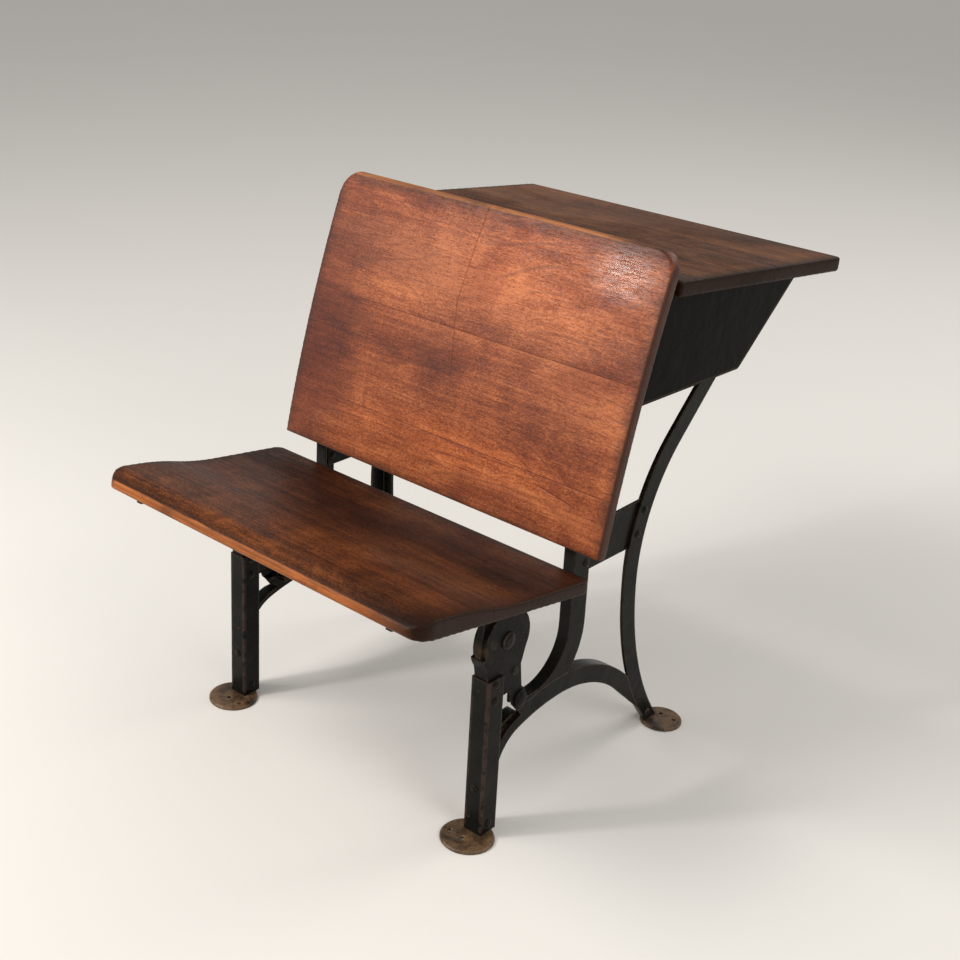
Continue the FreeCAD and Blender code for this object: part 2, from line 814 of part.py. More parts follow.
rear_top = rear_edge_track()
rear_crossing = crossing(rear_top.end, rear_top.heading, RAIL_UNDER, BOX_BOTTOM_ANGLE)
REAR_LEG_TOP = math.dist(rear_crossing, RAIL_UNDER)
BOX_BOLTS = (REAR_LEG_TOP + size("rear_bolt_lead"), size("front_bolt_along"))


def rear_leg_web():
    """The side outline of the rear leg's web."""
    rear = rear_edge_track().edges(0)
    front_upper = rear_edge_track().edges(size("rear_depth"))[1:]
    centre, radius, lean = rear_front_arc()
    front_lower = arc(centre, radius, 180 + lean, 180)
    return (rear + [[rear[-1][-1], front_upper[-1][-1]]] + reverse(front_upper)
            + [list(reversed(front_lower)), [front_lower[0], rear[0][0]]])


def rear_leg_tab():
    """The tab that closes the top of the rear leg and lies under the box rail."""
    reach = size("rear_depth") / sind(rear_edge_track().heading + size("box_bottom_slope"))
    back = REAR_LEG_TOP + size("leg_tab_inset")
    front = REAR_LEG_TOP + reach - size("leg_tab_inset")
    low = size("rail_thickness") + size("flange_thickness")
    return polygon([under_box(back, 0), under_box(front, 0), under_box(front, low), under_box(back, low)])


def rear_leg(name, hand):
    """An S-curved angle: the web is the outer side and the flange the rear edge."""
    body = new_body(name + "_rear_leg")
    side_pad(body, "Web", rear_leg_web(), WEB_IN, BAR_OUT, hand)
    side_pad(body, "Flange", band(rear_edge_track(), 0, size("flange_thickness")), BAR_IN, BAR_OUT, hand)
    side_pad(body, "Tab", rear_leg_tab(), BAR_IN, BAR_OUT, hand)
    side_cut(body, "AboveRail", above_rail())
    near, far = TOE_FRONT[0] - size("rear_pad_radius"), TOE_REAR[0] + size("rear_pad_radius")
    side_cut(body, "BelowPad", polygon([(near, TOE_REAR[1]), (far, TOE_REAR[1]), (far, -TOE_REAR[1]),
                                        (near, -TOE_REAR[1])]))
    slanted_holes(body, "RailHole", under_box(BOX_BOLTS[0], size("rail_thickness")), BOX_BOTTOM_ANGLE - 90,
                  [hand * RAIL_MID], BOLT_HOLE)
    side_holes(body, "LinkHoles", LINK_REAR_RIVETS, RIVET_HOLE)
    side_holes(body, "FootHole", [REAR_FOOT_RIVET], RIVET_HOLE)
    return body


def rear_edge_y(height):
    """Y of the rear leg's rear edge on the upper bend, at a height above the knee."""
    radius = size("rear_upper_radius")
    rise = height - KNEE_REAR[1]
    return KNEE_REAR[0] + radius - math.sqrt(radius * radius - rise * rise)


REAR_FOOT_HEIGHT = size("pad_rim") + size("socket_height") / 2
REAR_LEAN = math.degrees(math.asin((KNEE_REAR[1] - TOE_REAR[1]) / radius_from_knee(KNEE_REAR, TOE_REAR)))
REAR_FOOT_RIVET = ((TOE_REAR[0] + TOE_FRONT[0]) / 2 - (REAR_FOOT_HEIGHT - size("pad_rim")) * tand(REAR_LEAN)
                   - size("flange_thickness") / 2, REAR_FOOT_HEIGHT)


def rear_foot(name, hand):
    """The pad under a rear leg, with a leaning lug riveted to the inside of the leg's web."""
    body = foot_pad(name + "_rear_foot", size("rear_pad_radius"), hand * REAR_PAD_X, REAR_PAD,
                    hand * REAR_HOLE[0], REAR_HOLE[1])
    lean = REAR_LEAN
    top = size("pad_rim") + size("socket_height")
    gap = size("bar_gap")
    back = TOE_REAR[0] - (size("flange_thickness") + gap) / cosd(lean) + size("pad_rim") * tand(lean)
    front = TOE_FRONT[0] + size("rear_lug_setback") + size("pad_rim") * tand(lean)
    lug = polygon([(front, 0), (back, 0), (back - top * tand(lean), top), (front - top * tand(lean), top)])
    side_pad(body, "Lug", lug, WEB_IN - gap - size("rear_lug_thickness"), WEB_IN - gap, hand)
    side_holes(body, "RivetHole", [REAR_FOOT_RIVET], RIVET_HOLE)
    return body


# --------------------------------------------------------------------------- arch brace

ARCH_DEPTH = size("leg_depth") - size("leg_wall") - size("bar_gap")


def arch_track():
    """The underside of the arch, from its foot inside the front leg to the toe of the rear leg."""
    track = Track((station(size("leg_depth")), size("arch_foot")), 90)
    track.run(size("arch_spring") - size("arch_foot"))
    track.bend(size("arch_heel_radius"), size("arch_rise_angle") - 90)
    track.bend(size("arch_rise_radius"), -size("arch_rise_angle"))
    track.bend(size("arch_crown_radius"), -size("arch_fall_angle"))
    return track.run(size("knee_height") / 2)


def behind_rear_leg():
    """The region from the front edge of the rear leg backwards, below the knee."""
    centre, radius, lean = rear_front_arc()
    edge = arc(centre, radius + size("bar_gap"), 180 + lean, 180)
    far = centre[0]
    return [edge, [edge[-1], (far, edge[-1][1])], [(far, edge[-1][1]), (far, edge[0][1])],
            [(far, edge[0][1]), edge[0]]]


def arch_brace(name, hand):
    """An arched angle from inside the front leg to the rear leg, with its flange on top."""
    body = new_body(name + "_arch_brace")
    web_low = band(arch_track(), 0, ARCH_DEPTH)
    flange = band(arch_track(), ARCH_DEPTH - size("flange_thickness"), ARCH_DEPTH)
    side_pad(body, "Web", web_low, WEB_IN, BAR_OUT, hand)
    side_pad(body, "Flange", flange, BAR_IN, BAR_OUT, hand)
    side_cut(body, "RearLegEdge", behind_rear_leg())
    front_hole(body, hand)
    return body


# --------------------------------------------------------------------------- back uprights

# the screws of the backrest, in shares of its height
BACK_SCREW_SHARES = (0.13, 0.38, 0.63)
BACK_SCREW_HEIGHTS = [BACK_FOOT[1] + share * (BACK_HEAD[1] - BACK_FOOT[1]) for share in BACK_SCREW_SHARES]
BACK_SCREW_ANGLES = [math.degrees(math.asin((height - BACK_CENTRE[1]) / REST_RADIUS))
                     for height in BACK_SCREW_HEIGHTS]
BACK_SCREW_X = (UPRIGHT_IN + WEB_IN) / 2


def upright_front_track():
    """The front face of the back upright: heel, straight shank, knee and the stretch behind the backrest."""
    heel = size("upright_heel_radius")
    knee = size("upright_knee_radius")
    shank = station(size("upright_station"))
    start = (shank - heel, size("upright_heel_height") - heel)
    knee_y = BACK_CENTRE[0] - shank - knee
    knee_height = BACK_CENTRE[1] + math.sqrt((REST_RADIUS - knee) ** 2 - knee_y ** 2)
    lean = math.degrees(math.atan2(knee_height - BACK_CENTRE[1], knee_y))
    top_lean = math.degrees(math.asin((size("upright_top") - BACK_CENTRE[1]) / REST_RADIUS))
    track = Track(start, 0)
    track.bend(heel, 90)
    track.run(knee_height - size("upright_heel_height"))
    track.bend(knee, -lean)
    track.bend(REST_RADIUS, lean - top_lean)
    return track


def under_arch_top():
    """The region below the top face of the arch."""
    edge = arch_track().edges(ARCH_DEPTH + size("bar_gap"))
    first, last = edge[0][0], edge[-1][-1]
    return edge + [[last, (last[0], 0)], [(last[0], 0), (first[0], 0)], [(first[0], 0), first]]


def back_upright(name, hand):
    """A curved angle that rises from the arch and carries the backrest, with its flange in front."""
    body = new_body(name + "_back_upright")
    track = upright_front_track()
    depth = -size("upright_depth")
    thickness = -size("flange_thickness")
    web = band(track, 0, depth)
    side_pad(body, "Web", web, WEB_IN, BAR_OUT, hand)
    side_pad(body, "Flange", band(track, 0, thickness), UPRIGHT_IN, BAR_OUT, hand)
    # the root runs forward along the arch to the back of the leg
    start = track.pieces[0][1][0], size("upright_heel_height") - size("upright_heel_radius")
    leg_back = station(size("leg_depth")) + size("bar_gap")
    root = polygon([start, (start[0] - size("root_step"), start[1]), (leg_back, size("root_front_height")),
                    (leg_back, start[1] + depth), (start[0], start[1] + depth)])
    side_pad(body, "Root", root, BAR_IN, BAR_OUT, hand)
    side_cut(body, "ArchTop", under_arch_top())
    side_holes(body, "LinkHoles", LINK_FRONT_RIVETS + [RAIL_TAB_RIVET], RIVET_HOLE)
    for number, angle in enumerate(BACK_SCREW_ANGLES):
        slanted_holes(body, "BoardHole%d" % number, polar(BACK_CENTRE, REST_RADIUS, 180 - angle), 180 - angle,
                      [hand * BACK_SCREW_X], SCREW_HOLE)
    return body


# --------------------------------------------------------------------------- link plates

LINK_FRONT = station(size("upright_station") + size("flange_thickness") + size("link_setback"))
LINK_RIVET_HEIGHTS = (size("link_bottom") + size("link_rivet_inset"),
                      size("link_top") - size("link_rivet_inset"))
LINK_FRONT_RIVETS = [(LINK_FRONT + size("link_rivet_edge"), height) for height in LINK_RIVET_HEIGHTS]
LINK_REAR_RIVETS = [(rear_edge_y(height) - size("flange_thickness") - size("link_setback"), height)
                    for height in LINK_RIVET_HEIGHTS]


def link_plate(name, hand):
    """A flat plate that ties the back upright to the rear leg, inside both webs."""
    body = new_body(name + "_link_plate")
    low, high = size("link_bottom"), size("link_top")
    clearance = size("link_clearance")
    inset = size("flange_thickness") + clearance
    outline = polygon([(LINK_FRONT, low), (rear_edge_y(low) - inset, low - clearance),
                       (rear_edge_y(high) - inset - clearance, high), (LINK_FRONT, high)])
    side_pad(body, "Plate", outline, LINK_IN, WEB_IN, hand)
    side_holes(body, "RivetHoles", LINK_FRONT_RIVETS + LINK_REAR_RIVETS, RIVET_HOLE)
    return body


# --------------------------------------------------------------------------- backrest

def backrest_board():
    """A wide board, curved forwards in the side view, with rounded top corners."""
    body = new_body("backrest_board")
    foot = 180 - (size("back_lean") - BACK_HALF_ANGLE)
    head = 180 - (size("back_lean") + BACK_HALF_ANGLE)
    front = arc(BACK_CENTRE, BACK_RADIUS, foot, head)
    rear = arc(BACK_CENTRE, REST_RADIUS, foot, head)
    sketch = sketch_on(body, "Section", "YZ_Plane")
    draw(sketch, [front, [front[-1], rear[-1]], rear, [rear[0], front[0]]])
    pad(body, sketch, cell("board_width"), "Symmetric")
    # the front view trims the top to a slight crown between round corners
    half = size("board_width") / 2
    radius = size("back_corner_radius")
    top = BACK_HEAD[1]
    side_top = top - size("back_crown")
    bow = [(-half + radius, side_top), (0, top), (half - radius, side_top)]
    left_corner = arc((-half + radius, side_top - radius), radius, 180, 90)
    right_corner = arc((half - radius, side_top - radius), radius, 90, 0)
    out, high = half + TRIM_MARGIN, top + TRIM_MARGIN
    shoulder = side_top - radius
    trim = sketch_on(body, "TopTrim", "XZ_Plane")
    draw(trim, [[(-out, shoulder), left_corner[0]], left_corner, bow, right_corner,
                [right_corner[-1], (out, shoulder)], [(out, shoulder), (out, high)],
                [(out, high), (-out, high)], [(-out, high), (-out, shoulder)]])
    cut(body, trim)
    for number, angle in enumerate(BACK_SCREW_ANGLES):
        slanted_holes(body, "Pilot%d" % number, polar(BACK_CENTRE, REST_RADIUS, 180 - angle), 180 - angle,
                      (-BACK_SCREW_X, BACK_SCREW_X), SCREW_HOLE, cell("screw_depth"))
    return body


def backrest_screws():
    """The screws that hold the backrest, driven from behind through the flanges of the uprights."""
    length = size("flange_thickness") + size("screw_depth") - size("hole_clearance")
    shapes = []
    for angle in BACK_SCREW_ANGLES:
        seat = polar(BACK_CENTRE, REST_RADIUS - size("flange_thickness"), 180 - angle)
        for hand in (-1, 1):
            shapes.append(screw(side_point(hand * BACK_SCREW_X, seat), heading_vector(180 - angle), length))
    return solids("backrest_screws", shapes)


# --------------------------------------------------------------------------- seat hinge

STOP_TOP = size("stop_angle") - size("stop_spread") / 2
STOP_UNDER = size("stop_angle") + size("stop_spread") / 2
STOP_RADIUS = size("cheek_radius") + size("stop_length")
SLOT_RADIUS = size("knuckle_radius") + size("knuckle_gap")
ROOT_TOP = size("upright_heel_height") - size("upright_heel_radius")
BOSS = (station(size("boss_station")), ROOT_TOP + size("boss_radius") - size("boss_flat"))


def bracket_outline():
    """The side outline of the hinge bracket, clockwise from the foot of its tongue.

    The lobe round the pivot narrows to a neck, whose tail ends in the boss beside a slot behind the leg.
    """
    front = station(size("leg_wall") + size("bar_gap"))
    back = station(size("leg_depth"))
    shoulder = station(size("leg_edge_round"))
    top = LEG_TOP
    neck = BOSS[0] + size("neck_setback")
    boss = size("boss_radius")
    lean = math.degrees(math.acos((boss - size("boss_flat")) / boss))
    stop = arc(PIVOT, STOP_RADIUS, STOP_UNDER, STOP_TOP)
    lobe = arc(PIVOT, size("cheek_radius"), STOP_TOP, -size("lobe_end_angle"))
    round_boss = arc(BOSS, boss, size("boss_start_angle"), -90 + lean)
    low, high = size("bracket_slot_bottom"), size("bracket_slot_top")
    slot = back + size("bracket_slot_width")
    far_boss = arc(BOSS, boss, -90 - lean, -180 - math.degrees(math.asin((low - BOSS[1]) / boss)))
    path = [(front, top - size("tongue_length")), (front, top), (shoulder, top), stop[0]]
    path_down = [lobe[-1], (neck, top), round_boss[0]]
    path_back = [far_boss[-1], (slot, low), (slot, high), (back, high),
                 (back, top - size("tongue_length")), path[0]]
    return (chain(path) + [stop, [stop[-1], lobe[0]], lobe] + chain(path_down)
            + [round_boss, [round_boss[-1], far_boss[0]], far_boss] + chain(path_back))


def hinge_bracket(name, hand):
    """A forked casting on the front leg, whose boss rests on the root of the back upright."""
    body = new_body(name + "_hinge_bracket")
    side_pad(body, "Casting", bracket_outline(), BAR_IN, BAR_OUT, hand)
    width = cell("knuckle_thickness") + " + 2 * " + cell("fork_gap")
    reach = 2 * STOP_RADIUS
    well = sketch_on(body, "KnuckleWell", "YZ_Plane", hand * BAR_MID)
    draw_circle(well, PIVOT, cell("knuckle_radius") + " + " + cell("knuckle_gap"))
    cut(body, well, "Symmetric", width)
    mouth = sketch_on(body, "Mouth", "YZ_Plane", hand * BAR_MID)
    draw(mouth, polygon([PIVOT, polar(PIVOT, reach, STOP_TOP), (PIVOT[0] - reach, PIVOT[1] + reach),
                         (PIVOT[0] + reach, PIVOT[1] + reach), polar(PIVOT, reach, size("slot_rear_angle"))]))
    cut(body, mouth, "Symmetric", width)
    side_holes(body, "PivotHole", [PIVOT], PIVOT_HOLE)
    side_holes(body, "RivetHoles", BRACKET_RIVETS + [STRUT_RIVET], RIVET_HOLE)
    side_holes(body, "BossHole", [BOSS], BOSS_HOLE)
    return body


def pivot_bolt(name, hand):
    """The hinge bolt: a domed head outside, and a shank through the bracket and the arm."""
    body = new_body(name + "_hinge_bolt")
    head, height = size("pivot_head_radius"), size("pivot_head_height")
    radius = size("pivot_radius")
    y = PIVOT[0]
    chamfer = size("bolt_chamfer")
    inner = BAR_IN - size("nut_height") - size("bolt_reach")
    turn_about_x(body, PIVOT[1], [(hand * (BAR_OUT + rise), y + out) for out, rise in dome(head, height)] + [
        (hand * BAR_OUT, y + radius), (hand * (inner + chamfer), y + radius),
        (hand * inner, y + radius - chamfer), (hand * inner, y)])
    return body


def hinge_nut(name, hand):
    """The hexagon nut on the inner end of a hinge bolt."""
    body = new_body(name + "_hinge_nut")
    across = size("nut_radius")
    corners = [polar(PIVOT, across, 60 * turn) for turn in range(6)]
    side_pad(body, "Hexagon", polygon(corners), BAR_IN - size("nut_height"), BAR_IN, hand)
    side_holes(body, "Bore", [PIVOT], PIVOT_HOLE)
    return body


# --------------------------------------------------------------------------- seat

def on_seat(along, rise):
    """The (Y, Z) of a point of the seat's own frame, whose origin is the seat pivot."""
    base = polar(PIVOT, along, SEAT_TILT)
    return polar(base, rise, SEAT_TILT + 90)


ARM_UNDER = size("seat_rise") - size("arm_flange_thickness")
ARM_FRONT = size("arm_front_setback") - size("seat_front")
SCREW_FIRST = ARM_FRONT + size("arm_screw_front")
SCREW_PITCH = (size("arm_rear_reach") - size("arm_screw_rear") - SCREW_FIRST) / (size("arm_screw_count") - 1)
SEAT_SCREWS = [(SCREW_FIRST + number * SCREW_PITCH, hand * BAR_MID + side * size("arm_screw_spread"))
               for number in range(int(size("arm_screw_count"))) for hand in (-1, 1) for side in (-1, 1)]


def seat_arm(name, hand):
    """The hinged arm under the seat: a knuckle, a tapering rib with a stop nose and a top flange."""
    body = new_body(name + "_seat_arm")
    radius = size("knuckle_radius")
    middle = hand * BAR_MID
    half = size("knuckle_thickness") / 2
    nose_low = STOP_TOP - SEAT_TILT - size("stop_gap_angle")
    nose = STOP_RADIUS - size("stop_nose_gap")
    disc = arc((0, 0), radius, nose_low, 360 + size("rib_rear_angle"))
    top = (ARM_UNDER + size("seat_rise")) / 2
    tip = ARM_UNDER - size("arm_tip_depth")
    outline = chain([disc[-1], (size("arm_rear_reach"), ARM_UNDER), (size("arm_rear_reach"), top),
                     (ARM_FRONT, top), (ARM_FRONT, tip), (ARM_FRONT / 2, tip - size("arm_bend_depth")),
                     polar((0, 0), nose + size("arm_root_reach"), size("arm_root_angle")),
                     polar((0, 0), nose, nose_low - size("stop_nose_angle")), polar((0, 0), nose, nose_low),
                     disc[0]]) + [disc]
    side_pad(body, "Rib", outline, BAR_MID - half, BAR_MID + half, hand)
    flange = sketch_on(body, "Flange", "XY_Plane", ARM_UNDER)
    wide = size("arm_flange_width") / 2
    draw(flange, polygon([(middle - wide, ARM_FRONT), (middle + wide, ARM_FRONT),
                          (middle + wide, size("arm_rear_reach")), (middle - wide, size("arm_rear_reach"))]))
    pad(body, flange, cell("arm_flange_thickness"))
    side_holes(body, "PivotHole", [(0, 0)], PIVOT_HOLE)
    holes = sketch_on(body, "ScrewHoles", "XY_Plane", ARM_UNDER)
    for along, x in SEAT_SCREWS:
        if x * hand > 0:
            draw_circle(holes, (x, along), SCREW_HOLE)
    cut(body, holes, "One side", 2 * size("arm_flange_thickness"), True)
    place(body, PIVOT, SEAT_TILT)
    return body


def seat_outline():
    """The side outline of the seat: it dips, swells to a crest, rolls over to a small nose and runs back."""
    rise, run = size("seat_front_rise"), size("seat_swell")
    swing = 2 * math.degrees(math.atan2(rise, run))
    swell = run / (2 * sind(swing))
    dish, roll = size("seat_dish_angle"), size("seat_roll_angle")
    under, rear = size("seat_nose_under"), size("seat_back")
    track = Track((rear, size("seat_rise") + size("seat_rear_thickness")), 180 + dish)
    track.run((rear + size("seat_dip")) / cosd(dish))
    track.bend(swell, -swing - dish)
    track.bend(swell, swing)
    over = under + (track.end[1] - size("seat_rise") - 2 * under) / (1 - cosd(roll))
    track.run(track.end[0] + size("seat_front") - under - (over - under) * sind(roll))
    track.bend(over, roll)
    track.bend(under, 180 - roll)
    track.run(size("seat_front") - under + rear)
    outline = track.edges(0)
    return outline + [[outline[-1][-1], outline[0][0]]]


def seat_board():
    """The seat: a wide board with a dished top and a rolled nose."""
    body = new_body("seat_board")
    rear = size("seat_back")
    sketch = sketch_on(body, "Section", "YZ_Plane")
    draw(sketch, seat_outline())
    pad(body, sketch, cell("board_width"), "Symmetric")
    trim_corners(body, "FrontCorners", size("board_width") / 2, -size("seat_front"),
                 size("seat_corner_radius"), 1)
    trim_corners(body, "RearCorners", size("board_width") / 2, rear, size("seat_rear_corner_radius"), -1)
    pilots = sketch_on(body, "Pilots", "XY_Plane", size("seat_rise"))
    for along, x in SEAT_SCREWS:
        draw_circle(pilots, (x, along), SCREW_HOLE)
    cut(body, pilots, "One side", cell("screw_depth"), True)
    place(body, PIVOT, SEAT_TILT)
    return body


def seat_screws():
    """The screws that hold the arms under the seat."""
    length = size("arm_flange_thickness") + size("screw_depth") - size("hole_clearance")
    up = heading_vector(SEAT_TILT + 90)
    return solids("seat_screws", [screw(side_point(x, on_seat(along, ARM_UNDER)), up, length)
                                  for along, x in SEAT_SCREWS])


# --------------------------------------------------------------------------- book box

WALL_ANGLE = 270 - size("back_lean")
WALL_OUT = size("hinge_barrel_radius") + size("bar_gap")
WALL_POINT = polar(LID_AXIS, WALL_OUT, WALL_ANGLE + 90)
RIM_POINT = on_lid(0, LID_UNDER - size("rim_gap"))
BOX_FRONT_BOTTOM = crossing(WALL_POINT, WALL_ANGLE, BOX_BOTTOM_BACK, BOX_BOTTOM_ANGLE)
BOX_FRONT_TOP = crossing(WALL_POINT, WALL_ANGLE, RIM_POINT, LID_TILT)
BOX_BACK_TOP = crossing(BOX_BOTTOM_BACK, size("box_back_slope"), RIM_POINT, LID_TILT)
BOX_LENGTH = math.dist(BOX_BOTTOM_BACK, BOX_FRONT_BOTTOM)
BOX_HALF = size("board_width") / 2 - size("box_setback")
END_RIVET_X = BOX_HALF - size("box_flange") / 2
END_GRIP = 2 * size("box_sheet") + size("bar_gap")


def box_track():
    """The outer face of the box sheet: down the front wall, along the bottom and up the back panel."""
    extra = 2 * size("box_sheet")
    points = [polar(BOX_FRONT_TOP, extra, WALL_ANGLE + 180), BOX_FRONT_BOTTOM, BOX_BOTTOM_BACK,
              polar(BOX_BACK_TOP, extra, size("box_back_slope"))]
    return track_through(points, size("box_bend"))


def above_rim():
    """The region above the rim of the box."""
    reach = size("lid_length")
    low = LID_UNDER - size("rim_gap")
    return polygon([on_lid(-reach, low), on_lid(reach, low), on_lid(reach, reach), on_lid(-reach, reach)])


# the rivets of the box ends, in shares of the length of each side of the box
END_RIVET_SHARES = (0.2, 0.8)


def end_rivet_places():
    """Seats of the box end rivets on the outer face of the sheet, each with its direction into the box."""
    corners = (BOX_FRONT_TOP, BOX_FRONT_BOTTOM, BOX_BOTTOM_BACK, BOX_BACK_TOP)
    headings = (WALL_ANGLE, BOX_BOTTOM_ANGLE - 180, size("box_back_slope"))
    return [(polar(start, share * math.dist(start, finish), heading), heading + 90)
            for start, finish, heading in zip(corners, corners[1:], headings) for share in END_RIVET_SHARES]


# the holes of a hinge leaf, each by its distance from the pin and its offset along the pin
LEAF_HOLES = [(size("leaf_hole_near"), -size("leaf_hole_spread")), (size("leaf_hole_far"), 0.0),
              (size("leaf_hole_near"), size("leaf_hole_spread"))]


def leaf_rivet_seats():
    """The centre of each fixed leaf's rivets on the outer face of the front wall."""
    return [(offset, polar(WALL_POINT, drop, WALL_ANGLE)) for drop, offset in LEAF_HOLES]


def book_box_tray():
    """The folded sheet that forms the front wall, the bottom and the sloping back of the book box."""
    body = new_body("book_box_tray")
    side_pad(body, "Sheet", band(box_track(), 0, size("box_sheet")), -BOX_HALF, BOX_HALF, 1)
    side_cut(body, "Rim", above_rim())
    for number, (seat, direction) in enumerate(end_rivet_places()):
        slanted_holes(body, "EndHoles%d" % number, seat, direction, (-END_RIVET_X, END_RIVET_X), RIVET_HOLE)
    for number, (offset, seat) in enumerate(leaf_rivet_seats()):
        xs = [hand * HINGE_X + offset for hand in (-1, 1)]
        slanted_holes(body, "HingeHoles%d" % number, seat, WALL_ANGLE + 90, xs, RIVET_HOLE)
    for number, along in enumerate(BOX_BOLTS):
        slanted_holes(body, "RailHoles%d" % number, under_box(along, 0), BOX_BOTTOM_ANGLE - 90,
                      (-RAIL_MID, RAIL_MID), BOLT_HOLE)
    return body


def box_end(name, hand):
    """An end plate of the book box, with a flange inside the folded sheet."""
    body = new_body(name + "_box_end")
    gap = size("box_sheet") + size("bar_gap")
    edge = box_track().edges(gap)
    side_pad(body, "Plate", edge + [[edge[-1][-1], edge[0][0]]], BOX_HALF - size("box_sheet"), BOX_HALF,
             hand)
    side_pad(body, "Flange", band(box_track(), gap, gap + size("box_sheet")),
             BOX_HALF - size("box_flange"), BOX_HALF, hand)
    side_cut(body, "Rim", above_rim())
    for number, (seat, direction) in enumerate(end_rivet_places()):
        slanted_holes(body, "Hole%d" % number, seat, direction, [hand * END_RIVET_X], RIVET_HOLE)
    return body


def box_end_rivets():
    """The rivets that join the box ends to the folded sheet."""
    return solids("box_end_rivets", [rivet(side_point(hand * END_RIVET_X, seat), heading_vector(direction),
                                           END_GRIP)
                                     for seat, direction in end_rivet_places() for hand in (-1, 1)])


def box_rail(name, hand):
    """A flat bar under the book box, with a tab in front that is riveted to the back upright."""
    body = new_body(name + "_box_rail")
    thickness = size("rail_thickness")
    start = size("box_bottom_back_station") - size("rail_rear_station")
    end = BOX_LENGTH - size("box_bend") - size("rail_end_gap")
    side_pad(body, "Bar", polygon([under_box(start, 0), under_box(end, 0), under_box(end, thickness),
                                   under_box(start, thickness)]), BAR_IN, RAIL_OUT, hand)
    reach = RAIL_TAB_ALONG + size("rail_tab_edge")
    depth = 2 * size("rail_tab_drop")
    tab = [under_box(BOX_LENGTH - size("rail_tab_overlap"), thickness / 2), under_box(reach, thickness / 2),
           under_box(reach, depth), under_box(reach - size("rail_tab_taper"), depth)]
    side_pad(body, "Tab", polygon(tab), RAIL_OUT - size("web_thickness"), RAIL_OUT, hand)
    side_holes(body, "TabHole", [RAIL_TAB_RIVET], RIVET_HOLE)
    for number, along in enumerate(BOX_BOLTS):
        slanted_holes(body, "Hole%d" % number, under_box(along, 0), BOX_BOTTOM_ANGLE - 90,
                      [hand * RAIL_MID], BOLT_HOLE)
    return body


def box_bolts():
    """The bolts through the box bottom and the rails, with their heads inside the box."""
    down = heading_vector(BOX_BOTTOM_ANGLE + 90)
    length = (size("box_sheet") + size("rail_thickness") + size("flange_thickness")
              + size("small_nut_height") + size("bolt_reach"))
    shapes = []
    for along in BOX_BOLTS:
        for hand in (-1, 1):
            base = side_point(hand * RAIL_MID, under_box(along, -size("box_sheet")))
            shapes.append(headed_pin(base, down, size("bolt_radius"), length, size("bolt_head_radius"),
                                     size("bolt_head_height")))
    return solids("box_bolts", shapes)


def box_nuts():
    """The nuts under the rails. The rear ones also hold the tabs of the rear legs."""
    down = heading_vector(BOX_BOTTOM_ANGLE + 90)
    drops = (size("rail_thickness") + size("flange_thickness"), size("rail_thickness"))
    shapes = []
    for along, drop in zip(BOX_BOLTS, drops):
        for hand in (-1, 1):
            shapes.append(hexagon_nut(side_point(hand * RAIL_MID, under_box(along, drop)), down))
    return solids("box_nuts", shapes)


# --------------------------------------------------------------------------- lid

def lid_board():
    """The lid: one board with a rounded far edge, mortised below for the hinge leaves."""
    body = new_body("lid_board")
    near, thickness = size("lid_near_overhang"), size("lid_thickness")
    round_far = thickness / 2
    edge = size("lid_edge_round")
    track = Track((edge - near, LID_UNDER), 0)
    track.run(size("lid_length") - round_far + near - edge)
    track.bend(round_far, 90)
    track.bend(round_far, 90)
    track.run(size("lid_length") - round_far + near - edge)
    track.bend(edge, 90)
    track.run(thickness - 2 * edge)
    track.bend(edge, 90)
    sketch = sketch_on(body, "Section", "YZ_Plane")
    draw(sketch, track.edges(0))
    pad(body, sketch, cell("board_width") + " - 2 * " + cell("lid_setback"), "Symmetric")
    trim_corners(body, "FarCorners", size("board_width") / 2 - size("lid_setback"), size("lid_length"),
                 size("lid_corner_radius"), -1)
    for name, hand in SIDES:
        middle = hand * HINGE_X
        half = size("hinge_length") / 2 + size("bar_gap")
        mortise = sketch_on(body, name + "Mortise", "XY_Plane", LID_UNDER)
        draw(mortise, polygon([(middle - half, 0), (middle + half, 0),
                               (middle + half, size("hinge_leaf_width") + size("bar_gap")),
                               (middle - half, size("hinge_leaf_width") + size("bar_gap"))]))
        cut(body, mortise, "One side", cell("hinge_leaf_thickness"), True)
        groove = sketch_on(body, name + "Groove", "YZ_Plane", middle)
        draw_circle(groove, (0, 0), cell("hinge_barrel_radius") + " + 2 * " + cell("bar_gap"))
        cut(body, groove, "Symmetric", cell("hinge_length") + " + 2 * " + cell("pin_reach"))
        pilots = sketch_on(body, name + "Pilots", "XY_Plane", LID_UNDER)
        for along, offset in LEAF_HOLES:
            draw_circle(pilots, (middle + offset, along), SCREW_HOLE)
        cut(body, pilots, "One side", cell("hinge_leaf_thickness") + " + " + cell("screw_depth"), True)
    place(body, LID_AXIS, LID_TILT)
    return body


BARREL_LENGTH = cell("hinge_length") + " / " + cell("hinge_knuckle_count") + " - " + cell("hinge_end_gap")


